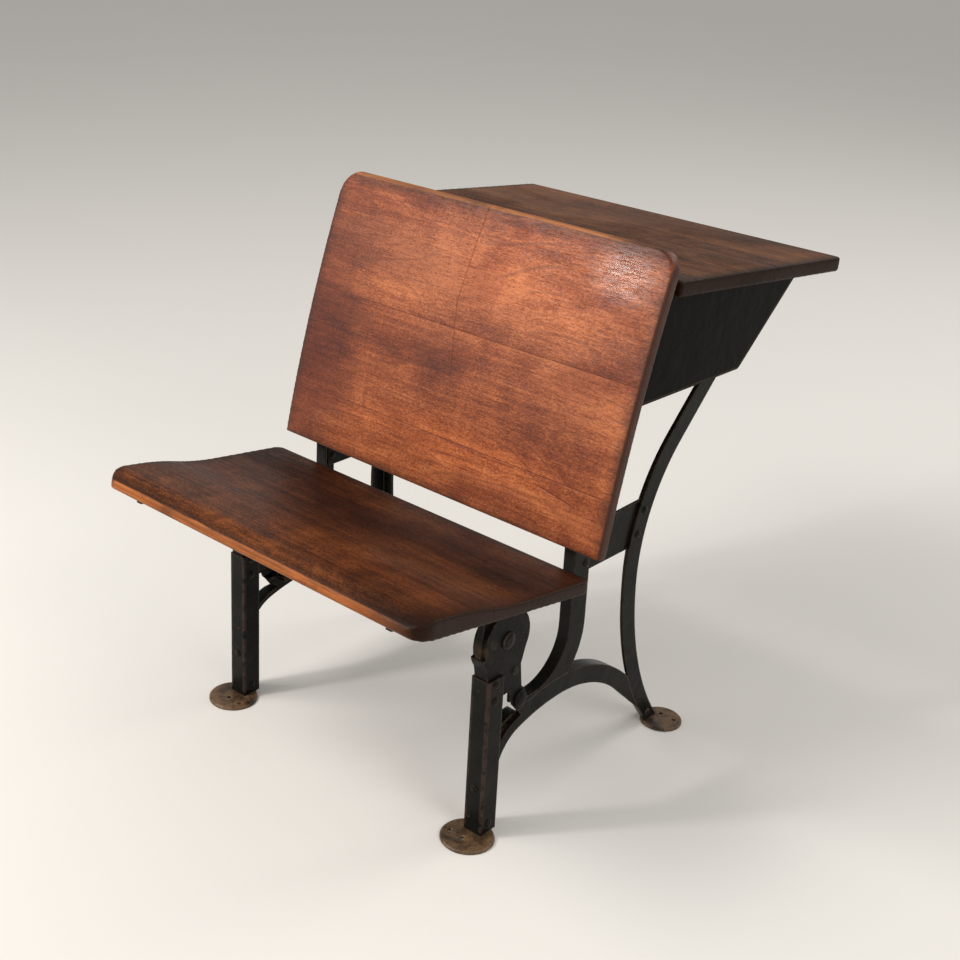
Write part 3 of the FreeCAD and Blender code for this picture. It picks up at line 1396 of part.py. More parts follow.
def hinge_half(body, hand, knuckles, face, radius):
    """One half of a lid hinge about the origin: a leaf whose far face is this high, and its knuckles."""
    middle = hand * HINGE_X
    start = middle - size("hinge_length") / 2
    pitch = size("hinge_length") / size("hinge_knuckle_count")
    thickness = size("hinge_leaf_thickness")
    clear = size("hinge_barrel_radius") + size("hinge_end_gap")
    leaf = sketch_on(body, "Leaf", "XY_Plane", face - thickness)
    draw(leaf, polygon([(start, clear), (start + size("hinge_length"), clear),
                        (start + size("hinge_length"), size("hinge_leaf_width")),
                        (start, size("hinge_leaf_width"))]))
    pad(body, leaf, cell("hinge_leaf_thickness"))
    for number in knuckles:
        low = start + number * pitch + size("hinge_end_gap") / 2
        tab = sketch_on(body, "Tab%d" % number, "XY_Plane", face - thickness)
        width = pitch - size("hinge_end_gap")
        draw(tab, polygon([(low, 0), (low + width, 0), (low + width, clear + thickness),
                           (low, clear + thickness)]))
        pad(body, tab, cell("hinge_leaf_thickness"))
        barrel = sketch_on(body, "Barrel%d" % number, "YZ_Plane", low)
        draw_circle(barrel, (0, 0), cell("hinge_barrel_radius"))
        pad(body, barrel, BARREL_LENGTH)
    side_holes(body, "PinHole", [(0, 0)], cell("hinge_pin_radius") + " + " + cell("hinge_pin_clearance"))
    screws = sketch_on(body, "Holes", "XY_Plane")
    for along, offset in LEAF_HOLES:
        draw_circle(screws, (middle + offset, along), radius)
    cut(body, screws, "Symmetric", size("hole_reach"))


def lid_hinge_leaf(name, hand):
    """The moving half of a lid hinge, let into the underside of the lid."""
    body = new_body(name + "_lid_hinge_leaf")
    hinge_half(body, hand, (1, 3), size("hinge_barrel_radius"), SCREW_HOLE)
    place(body, LID_AXIS, LID_TILT)
    return body


def lid_hinge_plate(name, hand):
    """The fixed half of a lid hinge, riveted to the front wall of the book box."""
    body = new_body(name + "_lid_hinge_plate")
    hinge_half(body, hand, (0, 2, 4), WALL_OUT, RIVET_HOLE)
    place(body, LID_AXIS, WALL_ANGLE)
    return body


def lid_hinge_pin(name, hand):
    """The pin of a lid hinge, with a small head at each end."""
    body = new_body(name + "_lid_hinge_pin")
    half = size("hinge_length") / 2
    middle = hand * HINGE_X
    radius, head = size("hinge_pin_radius"), size("hinge_pin_head_radius")
    seat = half + size("pin_head_gap")
    outer = half + size("pin_reach") - size("hinge_end_gap")
    turn_about_x(body, 0.0, [(middle + outer, 0), (middle + outer, head), (middle + seat, head),
                             (middle + seat, radius), (middle - seat, radius), (middle - seat, head),
                             (middle - outer, head), (middle - outer, 0)])
    place(body, LID_AXIS, 0)
    return body


def lid_screws():
    """The screws that hold the moving leaves under the lid."""
    up = heading_vector(LID_TILT + 90)
    length = size("hinge_leaf_thickness") + size("screw_depth") - size("hole_clearance")
    return solids("lid_screws", [screw(side_point(hand * HINGE_X + offset,
                                                  on_lid(along, LID_UNDER)), up, length)
                                 for hand in (-1, 1) for along, offset in LEAF_HOLES])


def hinge_rivets():
    """The rivets that hold the fixed leaves on the front wall of the book box."""
    into = heading_vector(WALL_ANGLE + 90)
    grip = size("hinge_leaf_thickness") + size("box_sheet")
    shapes = []
    for offset, seat in leaf_rivet_seats():
        base = polar(seat, -size("hinge_leaf_thickness"), WALL_ANGLE + 90)
        for hand in (-1, 1):
            shapes.append(rivet(side_point(hand * HINGE_X + offset, base), into, grip))
    return solids("hinge_rivets", shapes)


# --------------------------------------------------------------------------- frame rivets

def across_rivets(label, places, outer, grip, kind="rivet"):
    """Rivets along X through both side frames, with their outer heads at this distance."""
    return solids(label, [rivet(side_point(hand * outer, place_yz), FreeCAD.Vector(-hand, 0, 0), grip, kind)
                          for place_yz in places for hand in (-1, 1)])


def frame_rivets():
    """All rivets of the two side frames, one node for each place."""
    web = size("web_thickness")
    across_rivets("leg_rivets", [FOOT_RIVET] + BRACKET_RIVETS, LEG_OUT, size("leg_width"))
    across_rivets("bracket_rivets", [STRUT_RIVET], BAR_OUT, BAR_OUT - BAR_IN)
    across_rivets("boss_rivets", [BOSS], BAR_OUT, BAR_OUT - BAR_IN, "boss_rivet")
    across_rivets("link_rivets", LINK_FRONT_RIVETS + LINK_REAR_RIVETS, BAR_OUT,
                  web + size("link_thickness"))
    across_rivets("rail_rivets", [RAIL_TAB_RIVET], BAR_OUT, 2 * web + size("bar_gap"))
    across_rivets("rear_foot_rivets", [REAR_FOOT_RIVET], BAR_OUT,
                  web + size("bar_gap") + size("rear_lug_thickness"))
    arch_grip = size("leg_wall") + size("bar_gap") + size("flange_thickness")
    middle = (LEG_OUT + LEG_IN) / 2
    solids("arch_rivets", [rivet(FreeCAD.Vector(hand * middle, station(0), ARCH_RIVET_HEIGHT),
                                 FreeCAD.Vector(0, 1, 0), arch_grip) for hand in (-1, 1)])


# --------------------------------------------------------------------------- the whole desk

SIDE_PARTS = (front_leg, front_foot, rear_leg, rear_foot, arch_brace, back_upright, link_plate, box_rail,
              hinge_bracket, pivot_bolt, hinge_nut, seat_arm, box_end, lid_hinge_plate, lid_hinge_leaf,
              lid_hinge_pin)
SINGLE_PARTS = (backrest_board, backrest_screws, seat_board, seat_screws, book_box_tray, box_end_rivets,
                box_bolts, box_nuts, lid_board, lid_screws, hinge_rivets, frame_rivets)


def build():
    """Make every sub-part, check it and write it to its own file."""
    for make in SIDE_PARTS:
        for name, hand in SIDES:
            make(name, hand)
    for make in SINGLE_PARTS:
        make()
    doc.recompute()
    for item in doc.Objects:
        if "Invalid" in item.State or "Error" in item.State:
            raise RuntimeError("%s is not right: %s" % (item.Name, item.State))
    os.makedirs("parts", exist_ok=True)
    for item in bodies:
        if item.Shape.isNull() or not item.Shape.isValid():
            raise RuntimeError("%s has no good shape" % item.Label)
        item.Shape.exportStep(os.path.join("parts", item.Label + ".step"))


build()
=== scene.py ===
"""The looks of an old school desk with a folding seat and a lifting lid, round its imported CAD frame."""

import math

import bmesh
import bpy
import numpy as np
from mathutils import Matrix, Vector


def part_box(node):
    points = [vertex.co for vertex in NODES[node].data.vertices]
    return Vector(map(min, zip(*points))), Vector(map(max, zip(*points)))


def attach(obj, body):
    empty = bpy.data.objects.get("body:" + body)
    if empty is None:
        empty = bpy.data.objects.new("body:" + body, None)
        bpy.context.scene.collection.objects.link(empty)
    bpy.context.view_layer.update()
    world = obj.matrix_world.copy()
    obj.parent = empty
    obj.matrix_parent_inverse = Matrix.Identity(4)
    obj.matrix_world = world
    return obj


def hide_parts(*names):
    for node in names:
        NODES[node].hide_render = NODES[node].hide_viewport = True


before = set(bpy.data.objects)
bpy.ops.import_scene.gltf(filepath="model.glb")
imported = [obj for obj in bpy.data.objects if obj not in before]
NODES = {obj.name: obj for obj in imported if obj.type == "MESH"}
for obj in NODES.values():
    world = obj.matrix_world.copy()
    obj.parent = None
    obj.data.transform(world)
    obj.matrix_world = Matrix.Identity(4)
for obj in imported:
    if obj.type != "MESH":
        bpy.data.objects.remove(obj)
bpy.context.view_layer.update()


# ---- material building ----

class Look:
    """One procedural material. Its coordinates are those of the desk at rest, in metres."""

    BEVEL_SAMPLES = 6

    def __init__(self, name):
        self.material = bpy.data.materials.new(name)
        self.material.use_nodes = True
        self.tree = self.material.node_tree
        self.tree.nodes.clear()
        output = self.node("ShaderNodeOutputMaterial")
        self.shader = self.node("ShaderNodeBsdfPrincipled")
        self.tree.links.new(self.shader.outputs[0], output.inputs[0])
        self.place = self.node("ShaderNodeTexCoord").outputs["Object"]
        parts = self.node("ShaderNodeSeparateXYZ")
        self.put(self.place, parts.inputs[0])
        self.x, self.y, self.z = parts.outputs

    def node(self, kind, **settings):
        made = self.tree.nodes.new(kind)
        for key, value in settings.items():
            setattr(made, key, value)
        return made

    def put(self, value, socket):
        """Links a value to a socket, or writes it there."""
        if isinstance(value, bpy.types.NodeSocket):
            self.tree.links.new(value, socket)
        else:
            socket.default_value = value

    def math(self, operation, a, b=0.0, c=0.0):
        made = self.node("ShaderNodeMath", operation=operation)
        for value, socket in zip((a, b, c), made.inputs):
            self.put(value, socket)
        return made.outputs[0]

    def times(self, a, b):
        return self.math("MULTIPLY", a, b)

    def plus(self, base, value, share):
        """A base plus a share of a value."""
        return self.math("MULTIPLY_ADD", value, share, base)

    def swing(self, base, noise, share):
        """A base plus a share of how far a noise lies above its middle."""
        return self.plus(base, self.math("SUBTRACT", noise, 0.5), share)

    def vector(self, operation, a, b):
        made = self.node("ShaderNodeVectorMath", operation=operation)
        self.put(a, made.inputs[0])
        self.put(b, made.inputs[1])
        return made.outputs["Value"] if operation in ("DISTANCE", "DOT_PRODUCT") else made.outputs[0]

    def joined(self, x, y, z):
        made = self.node("ShaderNodeCombineXYZ")
        for value, socket in zip((x, y, z), made.inputs):
            self.put(value, socket)
        return made.outputs[0]

    def noise(self, scale, detail=4.0, roughness=0.5, warp=0.0, place=None):
        """Noise with a number of features per metre along each axis."""
        made = self.node("ShaderNodeTexNoise")
        self.put(self.vector("MULTIPLY", place or self.place, scale), made.inputs["Vector"])
        made.inputs["Scale"].default_value = 1.0
        made.inputs["Detail"].default_value = detail
        made.inputs["Roughness"].default_value = roughness
        made.inputs["Distortion"].default_value = warp
        return made.outputs[0]

    def even_noise(self, scale, *settings):
        """Noise with the same number of features per metre along all three axes."""
        return self.noise((scale, scale, scale), *settings)

    def step(self, value, low, high):
        """0 up to low and 1 from high on; low above high turns it round."""
        made = self.node("ShaderNodeMapRange", interpolation_type="SMOOTHSTEP")
        self.put(value, made.inputs["Value"])
        made.inputs["From Min"].default_value = low
        made.inputs["From Max"].default_value = high
        return made.outputs["Result"]

    def mix(self, factor, a, b, blend="MIX"):
        made = self.node("ShaderNodeMix", data_type="RGBA", blend_type=blend)
        self.put(factor, made.inputs[0])
        for value, socket in ((a, made.inputs[6]), (b, made.inputs[7])):
            self.put(value + (1.0,) if isinstance(value, tuple) else value, socket)
        return made.outputs[2]

    def coat(self, under, over, where, amount, blend="MIX"):
        """A colour under another one, which covers it by an amount where a mask is 1."""
        return self.mix(self.times(where, amount), under, over, blend)

    def ramp(self, value, stops):
        made = self.node("ShaderNodeValToRGB")
        self.put(value, made.inputs[0])
        elements = made.color_ramp.elements
        while len(elements) < len(stops):
            elements.new(0.5)
        for element, (position, colour) in zip(elements, stops):
            element.position = position
            element.color = colour + (1.0,)
        return made.outputs[0]

    def attribute(self, name):
        return self.node("ShaderNodeAttribute", attribute_name=name).outputs["Fac"]

    def spot(self, centre, radius, core):
        """1 up to a share of the radius from a point, 0 from the radius on."""
        away = self.vector("DISTANCE", self.place, centre)
        return self.step(away, radius, radius * core)

    def line(self, start, end, width, place=None):
        """1 on the straight line between two points, 0 from its width on."""
        start, end = Vector(start), Vector(end)
        along = end - start
        offset = self.vector("SUBTRACT", place or self.place, tuple(start))
        share = self.vector("DOT_PRODUCT", offset, tuple(along / along.length_squared))
        share = self.math("MINIMUM", self.math("MAXIMUM", share, 0.0), 1.0)
        nearest = self.node("ShaderNodeVectorMath", operation="SCALE")
        nearest.inputs[0].default_value = along
        self.put(share, nearest.inputs["Scale"])
        away = self.vector("DISTANCE", offset, nearest.outputs[0])
        return self.step(away, width, width * 0.3)

    def edges(self, radius):
        """The normal with its edges rounded, and how far that turns it: 0 on flats, more on edges."""
        soft = self.node("ShaderNodeBevel", samples=self.BEVEL_SAMPLES)
        soft.inputs["Radius"].default_value = radius
        true = self.node("ShaderNodeNewGeometry").outputs["Normal"]
        turn = self.math("SUBTRACT", 1.0, self.vector("DOT_PRODUCT", soft.outputs[0], true))
        return soft.outputs[0], turn

    def bump(self, height, distance, strength, normal=None):
        made = self.node("ShaderNodeBump")
        self.put(height, made.inputs["Height"])
        made.inputs["Distance"].default_value = distance
        made.inputs["Strength"].default_value = strength
        if normal is not None:
            self.put(normal, made.inputs["Normal"])
        return made.outputs[0]

    def finish(self, colour, roughness, normal, shine=0.5):
        """Fills in the shader. Its specular level is a plain number on the shader's own socket."""
        self.put(colour, self.shader.inputs["Base Color"])
        self.put(roughness, self.shader.inputs["Roughness"])
        self.put(normal, self.shader.inputs["Normal"])
        self.shader.inputs["Specular IOR Level"].default_value = shine
        return self.material


# ---- wood ----

STRIP_SHIFT = 2.7                       # along X, between the grain of one strip and the next
SEAM_STEP = 1e-5                        # half the reach over which the grain changes
SEAM_FADE, SEAM_CORE = 0.0009, 0.0003   # how far a seam's line reaches, and how far it is full
RING_WAVES = 150.0
PATCH_RAGGED = 1.1
SIDE_FADE, SIDE_CORE = 0.0045, 0.0015   # how far the dirt of the side faces comes round the edge
WORN_REACH = 0.004
WORN_RAGGED = 0.6                       # share of the reach that is left to chance
WORN_HIGH_FADE, WORN_LOW_FADE = 0.11, 0.02
POLISH_GAIN = 0.24
VARNISH_BUMP = 0.0005


def shaded(colour, share):
    return tuple(share * part for part in colour)


def flat_place(look, across):
    """The place on a board, without its depth."""
    return look.joined(look.x, look.y, 0.0) if across == "y" else look.joined(look.x, 0.0, look.z)


def blotch(look, place, cloud, centre, radii):
    """A soft patch with a ragged border: 1 in the middle, 0 outside."""
    offset = look.vector("SUBTRACT", place, centre)
    spread = look.vector("MULTIPLY", offset, tuple(1.0 / radius for radius in radii))
    away = look.vector("DISTANCE", spread, (0.0, 0.0, 0.0))
    return look.step(look.swing(away, cloud, -PATCH_RAGGED), 1.1, 0.25)


def strips(look, cross, seams):
    """The place with each strip's grain shifted, and a mask of the lines where the strips meet."""
    shift = seam_line = 0.0
    for seam in seams:
        shift = look.plus(shift, look.step(cross, seam - SEAM_STEP, seam + SEAM_STEP), STRIP_SHIFT)
        away = look.math("ABSOLUTE", look.math("SUBTRACT", cross, seam))
        seam_line = look.math("MAXIMUM", look.step(away, SEAM_FADE, SEAM_CORE), seam_line)
    return look.joined(look.math("ADD", look.x, shift), look.y, look.z), seam_line


def grained(look, place, cloud, grain, dark, middle, light):
    """The colour of the wood under its varnish, with its rings and its fine streaks."""
    broad = look.noise((1.8, 9.0, 9.0), 4.0, 0.55, 0.5, place)
    rings = look.noise((1.4, 5.5, 5.5), 2.0, 0.4, 0.3, place)
    rings = look.math("SINE", look.times(rings, RING_WAVES))
    streak = look.noise((9.0, 210.0, 210.0), 5.0, 0.7, 0.8, place)
    fleck = look.noise((270.0, 560.0, 560.0), 4.0, 0.75, 0.3, place)
    curl = look.noise((34.0, 9.0, 9.0), 3.0, 0.55, 0.4, place)
    tone = look.plus(broad, rings, 0.045 * grain)
    for noise, share in ((streak, 0.9), (fleck, 1.5), (curl, 0.35), (cloud, 0.3)):
        tone = look.swing(tone, noise, share * grain)
    return look.ramp(tone, ((0.2, dark), (0.5, middle), (0.82, light))), rings, streak


def rubbed_bare(look, ragged, reach, span, lowest):
    """A mask of the rim that hands and legs have rubbed bare. Where a lowest height is given, the mask stops
    above it, and the darker colour left below it is painted shade.
    """
    front = look.swing(look.attribute("front"), ragged, reach * WORN_RAGGED)
    bare = look.step(front, reach, reach * WORN_RAGGED)
    bare = look.times(bare, look.step(look.x, span[1], span[1] - WORN_HIGH_FADE))
    bare = look.times(bare, look.step(look.x, span[0], span[0] + WORN_LOW_FADE))
    # painted shade: the rim is not bared below this height, so the bottom of the seat's nose keeps its dark
    # side colour, which stands for the shade under a rounded nose
    if lowest is not None:
        height = look.swing(look.z, ragged, 0.012)
        bare = look.times(bare, look.step(height, lowest, lowest + 0.006))
    return bare


def wood(name, tones, across, seams, gloss, shine, grain=1.0, patches=(), scratches=(), polish=None,
         worn_reach=WORN_REACH, worn_span=(-0.26, 0.26), worn_above_painted_shade=None):
    """Old varnished birch with its grain along X, glued up from strips.

    tones: dark, middle, light, cloud, worn and side colours. across: the axis that crosses the grain.
    seams: where the strips meet on that axis. gloss: the roughness. shine: the specular level.
    grain: how strong the grain is. patches: (centre, radii, colour, share).
    scratches: (start, end, width) lines. polish: centre and radii of a smoother patch.
    worn_reach: how far the bare rim reaches. worn_span: where along X it lies. worn_above_painted_shade: its
    lowest height, below which the rim stays dark as painted shade.
    """
    look = Look(name)
    dark, middle, light, clouded, worn, side = tones
    flat = flat_place(look, across)
    place, seam_line = strips(look, {"y": look.y, "z": look.z}[across], seams)
    cloud = look.noise((7.5, 13.0, 13.0), 5.0, 0.62, 0.7)
    colour, rings, streak = grained(look, place, cloud, grain, dark, middle, light)

    # the varnish has darkened in clouds and patches, and in the pores and rings
    haze = look.step(look.noise((3.2, 6.5, 6.5), 5.0, 0.6, 1.0), 0.44, 0.66)
    colour = look.coat(colour, clouded, haze, 0.75, "MULTIPLY")
    for centre, radii, tint, share in patches:
        colour = look.coat(colour, tint, blotch(look, flat, cloud, centre, radii), share, "MULTIPLY")
    pores = look.step(look.noise((70.0, 1250.0, 1250.0), 2.0, 0.6, 0.0, place), 0.44, 0.3)
    colour = look.coat(colour, dark, pores, 0.4)
    ring_line = look.times(look.step(rings, 0.80, 1.0), look.step(cloud, 0.38, 0.6))
    colour = look.coat(colour, dark, ring_line, 0.45)

    # dirt on the side faces and beside them, and bare wood along the rubbed rim; on the seat the bare rim
    # stops above the bottom of the nose, and the dark side colour left there is painted shade
    rim = look.attribute("rim")
    ragged = look.noise((24.0, 90.0, 90.0), 4.0, 0.6)
    grime = look.step(look.swing(rim, ragged, 0.03), 0.02, 0.0)
    colour = look.coat(colour, side, grime, 0.6)
    colour = look.coat(colour, side, look.step(rim, SIDE_FADE, SIDE_CORE), 0.9)
    bare = rubbed_bare(look, ragged, worn_reach, worn_span, worn_above_painted_shade)
    bare_tone = look.mix(look.step(streak, 0.35, 0.65), shaded(worn, 0.5), worn)
    bare_tone = look.mix(look.step(cloud, 0.52, 0.36), bare_tone, shaded(worn, 0.4))
    colour = look.coat(colour, bare_tone, bare, 0.92)

    # scratches and seams
    marks = seam_line
    for start, end, width in scratches:
        marks = look.math("MAXIMUM", marks, look.line(start, end, width, flat))
    colour = look.coat(colour, dark, marks, 0.55)

    # the varnish is crazed, dull where it is dirty or gone, and smoother where it is polished
    craze = look.noise((170.0, 240.0, 240.0), 5.0, 0.7, 0.5)
    height = streak
    for value, share in ((pores, -0.5), (marks, -1.2), (craze, 0.8)):
        height = look.plus(height, value, share)
    rough = gloss - 0.15
    for value, share in ((craze, 0.3), (haze, 0.1), (bare, 0.15)):
        rough = look.plus(rough, value, share)
    if polish:
        rough = look.plus(rough, blotch(look, flat, craze, *polish), -POLISH_GAIN)
    return look.finish(colour, rough, look.bump(height, VARNISH_BUMP, 0.6), shine)


# ---- metal ----

RIDGE = (0.062, 0.034, 0.027)           # undercoat that shows on a rubbed ridge
RUST = (0.075, 0.030, 0.012)
STEEL_EDGE, CAST_EDGE = 0.003, 0.0022   # rounding of the edges
STEEL_BUMP, CAST_BUMP = 0.0007, 0.0009


def black_steel(name, base=(0.0035, 0.0042, 0.0038), haze=(0.014, 0.013, 0.010),
                edge=(0.075, 0.048, 0.030), rust_level=0.66, shine=0.12, ridges=()):
    """Rolled steel under old lumpy japan varnish, which is rubbed through along its edges and ridges.

    rust_level: how much of a noise stays free of rust. ridges: (start, end, width) lines.
    """
    look = Look(name)
    normal, turn = look.edges(STEEL_EDGE)
    cloud = look.even_noise(22.0, 5.0, 0.6, 0.4)
    lumps = look.even_noise(42.0, 3.0, 0.5, 0.2)
    grit = look.even_noise(300.0, 4.0, 0.6)
    fleck = look.even_noise(95.0, 6.0, 0.68)
    colour = look.ramp(cloud, ((0.35, base), (0.75, haze)))
    rusted = look.step(fleck, rust_level, rust_level + 0.05)
    colour = look.mix(rusted, colour, RUST)
    rubbed = look.times(look.step(turn, 0.012, 0.09), look.step(fleck, 0.34, 0.52))
    colour = look.coat(colour, edge, rubbed, 0.85)
    for start, end, width in ridges:
        ridge = look.times(look.line(start, end, width), look.step(fleck, 0.36, 0.54))
        colour = look.coat(colour, RIDGE, ridge, 0.75)
    rough = look.plus(look.plus(0.14, cloud, 0.3), rusted, 0.35)
    height = look.plus(look.times(lumps, 2.0), grit, 0.25)
    return look.finish(colour, rough, look.bump(height, STEEL_BUMP, 0.6, normal), shine)


def cast_iron(name, skin, rust, bright, rust_from, rough_low, shine, rubbed=()):
    """A casting: lumpy skin, rust in its hollows and bare metal on its edges and in the rubbed places.

    rust_from: the noise at which rust begins. rubbed: (centre, radius) of places.
    """
    look = Look(name)
    normal, turn = look.edges(CAST_EDGE)
    cloud = look.even_noise(30.0, 5.0, 0.62, 0.5)
    lumps = look.even_noise(110.0, 3.0, 0.55, 0.3)
    pits = look.even_noise(260.0, 5.0, 0.65)
    colour = look.mix(look.step(cloud, rust_from, rust_from + 0.25), skin, rust)
    colour = look.coat(colour, skin, look.step(pits, 0.48, 0.36), 0.6)
    worn = look.times(look.step(turn, 0.02, 0.25), look.step(pits, 0.4, 0.6))
    for centre, radius in rubbed:
        near = look.times(look.spot(centre, radius, 0.35), look.step(cloud, 0.36, 0.6))
        worn = look.math("MAXIMUM", worn, look.times(near, 0.8))
    colour = look.mix(worn, colour, bright)
    rough = look.plus(rough_low, pits, 0.35)
    height = look.plus(pits, lumps, 1.5)
    return look.finish(colour, rough, look.bump(height, CAST_BUMP, 0.6, normal), shine)


# ---- meshes ----

WELD = 1e-6                             # points of a CAD mesh closer than this are one
BOARD_VOXEL = 0.0022
BOARD_ROUNDING = 12                     # smoothing steps, which round a board's edges by a few millimetres


def placed(name, mesh):
    piece = bpy.data.objects.new(name, mesh)
    bpy.context.scene.collection.objects.link(piece)
    return piece


def mesh_of(name, shape):
    """A mesh from a bmesh, which is freed."""
    mesh = bpy.data.meshes.new(name)
    shape.to_mesh(mesh)
    shape.free()
    return mesh


def welded(name, node):
    """A copy of a CAD solid, with its faces joined along their edges."""
    shape = bmesh.new()
    shape.from_mesh(NODES[node].data)
    bmesh.ops.remove_doubles(shape, verts=shape.verts, dist=WELD)
    return placed(name, mesh_of(name, shape))


def settle(piece, material):
    """Makes what the modifiers show the piece's own mesh, of one material."""
    before = piece.data
    depsgraph = bpy.context.evaluated_depsgraph_get()
    piece.data = bpy.data.meshes.new_from_object(piece.evaluated_get(depsgraph))
    piece.modifiers.clear()
    bpy.data.meshes.remove(before)
    piece.data.name = piece.name
    piece.data.materials.clear()
    piece.data.materials.append(material)


# ---- boards ----

def mark_rim(piece, across, worn_high):
    """Stores how far each point lies from the board's outline, and from the side of it that wears."""
    places = np.zeros(len(piece.data.vertices) * 3)
    piece.data.vertices.foreach_get("co", places)
    places = places.reshape(-1, 3)
    beside = np.abs(places[:, 0])
    line = places[:, "xyz".index(across)]
    low, high = line - line.min(), line.max() - line
    rim = np.minimum(beside.max() - beside, np.minimum(low, high))
    for name, values in (("rim", rim), ("front", high if worn_high else low)):
        layer = piece.data.attributes.new(name, "FLOAT", "POINT")
        layer.data.foreach_set("value", values.astype(np.float32))


def board(name, node, body, material, across, worn_high=False):
    """A board from its CAD solid, as an even mesh with rounded edges. across: see wood()."""
    piece = welded(name, node)
    even = piece.modifiers.new("even", "REMESH")
    even.mode = "VOXEL"
    even.voxel_size = BOARD_VOXEL
    soft = piece.modifiers.new("soft", "SMOOTH")
    soft.factor = 0.5
    soft.iterations = BOARD_ROUNDING
    settle(piece, material)
    piece.data.polygons.foreach_set("use_smooth", np.ones(len(piece.data.polygons), bool))
    mark_rim(piece, across, worn_high)
    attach(piece, body)
    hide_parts(node)


SEAT_TONES = ((0.022, 0.0055, 0.0015), (0.066, 0.0185, 0.0050), (0.140, 0.043, 0.0125),
              (0.40, 0.30, 0.25), (0.45, 0.135, 0.034), (0.020, 0.0065, 0.0025))
BACK_TONES = ((0.125, 0.022, 0.005), (0.300, 0.070, 0.017), (0.540, 0.168, 0.055),
              (0.55, 0.40, 0.40), (0.42, 0.15, 0.048), (0.040, 0.011, 0.004))
LID_TONES = ((0.028, 0.0075, 0.002), (0.110, 0.036, 0.010), (0.220, 0.085, 0.028),
             (0.55, 0.46, 0.38), (0.22, 0.085, 0.030), (0.014, 0.006, 0.003))

# tints of the patches: darkest, dark, and lighter than the rest
SOOT = (0.16, 0.12, 0.11)
DUSK = (0.42, 0.30, 0.30)
GLOW = (1.6, 1.5, 1.3)

# painted shade: the seat's bare rim starts this far above the board's lowest point, so the lower part of its
# nose keeps a dark colour in place of the shade under a rounded nose
SEAT_PAINTED_SHADE_RISE = 0.004                  # above the seat board's lowest point

SEAT_BIRCH = wood(
    "seat_birch", SEAT_TONES, "y", (-0.300,), gloss=0.36, shine=0.13, grain=1.35,
    worn_span=(-0.262, 0.27), worn_above_painted_shade=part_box("seat_board")[0][2] + SEAT_PAINTED_SHADE_RISE,
    patches=(((-0.02, -0.225, 0.0), (0.13, 0.05, 1.0), SOOT, 0.75),
             ((0.13, -0.185, 0.0), (0.14, 0.04, 1.0), SOOT, 0.6),
             ((0.20, -0.215, 0.0), (0.06, 0.03, 1.0), SOOT, 0.8),
             ((0.265, -0.42, 0.0), (0.11, 0.07, 1.0), SOOT, 0.95),
             ((0.26, -0.26, 0.0), (0.04, 0.20, 1.0), SOOT, 0.6),
             ((-0.19, -0.33, 0.0), (0.12, 0.10, 1.0), GLOW, 0.9),
             ((0.04, -0.35, 0.0), (0.24, 0.06, 1.0), GLOW, 1.0),
             ((-0.03, -0.415, 0.0), (0.26, 0.030, 1.0), GLOW, 0.9)))
BACKREST_BIRCH = wood(
    "backrest_birch", BACK_TONES, "z", (0.414, 0.548), gloss=0.43, shine=0.34,
    worn_reach=0.0045, polish=((0.205, 0.0, 0.66), (0.06, 1.0, 0.045)),
    patches=(((-0.245, 0.0, 0.48), (0.11, 1.0, 0.26), DUSK, 1.0),
             ((-0.15, 0.0, 0.62), (0.16, 1.0, 0.05), DUSK, 0.5),
             ((-0.03, 0.0, 0.50), (0.05, 1.0, 0.08), DUSK, 0.45),
             ((0.15, 0.0, 0.47), (0.10, 1.0, 0.05), DUSK, 0.3),
             ((0.04, 0.0, 0.41), (0.22, 1.0, 0.035), GLOW, 0.35),
             ((0.10, 0.0, 0.64), (0.18, 1.0, 0.08), GLOW, 0.35)),
    # one long scratch in two parts, a short one near the bottom, and a chip near the right edge
    scratches=(((-0.013, 0.0, 0.699), (-0.022, 0.0, 0.58), 0.0009),
               ((-0.022, 0.0, 0.58), (-0.004, 0.0, 0.49), 0.0009),
               ((0.163, 0.0, 0.402), (0.217, 0.0, 0.393), 0.0016),
               ((0.254, 0.0, 0.552), (0.257, 0.0, 0.552), 0.0028)))
LID_BIRCH = wood(
    "lid_birch", LID_TONES, "y", (0.160, 0.290), gloss=0.42, shine=0.08, grain=1.3,
    patches=(((0.0, 0.36, 0.0), (0.25, 0.08, 1.0), DUSK, 0.5),
             ((-0.12, 0.14, 0.0), (0.12, 0.07, 1.0), DUSK, 0.4)))

board("seat_wood", "seat_board", "seat", SEAT_BIRCH, "y")
board("backrest_wood", "backrest_board", "frame", BACKREST_BIRCH, "z", worn_high=True)
board("lid_wood", "lid_board", "lid", LID_BIRCH, "y")


# ---- finishes of the CAD solids ----

HANDS = (("left", -1), ("right", 1))
LEG_LOW, LEG_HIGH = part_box("right_front_leg")
ARM_LOW, ARM_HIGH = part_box("right_seat_arm")

# the front corners of the front legs, rubbed down to the undercoat
RIDGE_START, RIDGE_WIDTH = 0.012, 0.0055
LEG_RIDGES = tuple(
    ((hand * x, LEG_LOW[1], RIDGE_START), (hand * x, LEG_LOW[1], LEG_HIGH[2]), RIDGE_WIDTH)
    for _, hand in HANDS for x in (LEG_LOW[0], LEG_HIGH[0]))

# the fronts of the knuckles, rubbed by the legs of whoever sits there
KNUCKLE_MIDDLE = 0.5 * (ARM_LOW[0] + ARM_HIGH[0])
KNUCKLE_FRONT, KNUCKLE_HEIGHT, KNUCKLE_RUBBED = -0.2420, 0.2600, 0.020
KNUCKLE_FRONTS = tuple(((hand * KNUCKLE_MIDDLE, KNUCKLE_FRONT, KNUCKLE_HEIGHT), KNUCKLE_RUBBED)
                       for _, hand in HANDS)

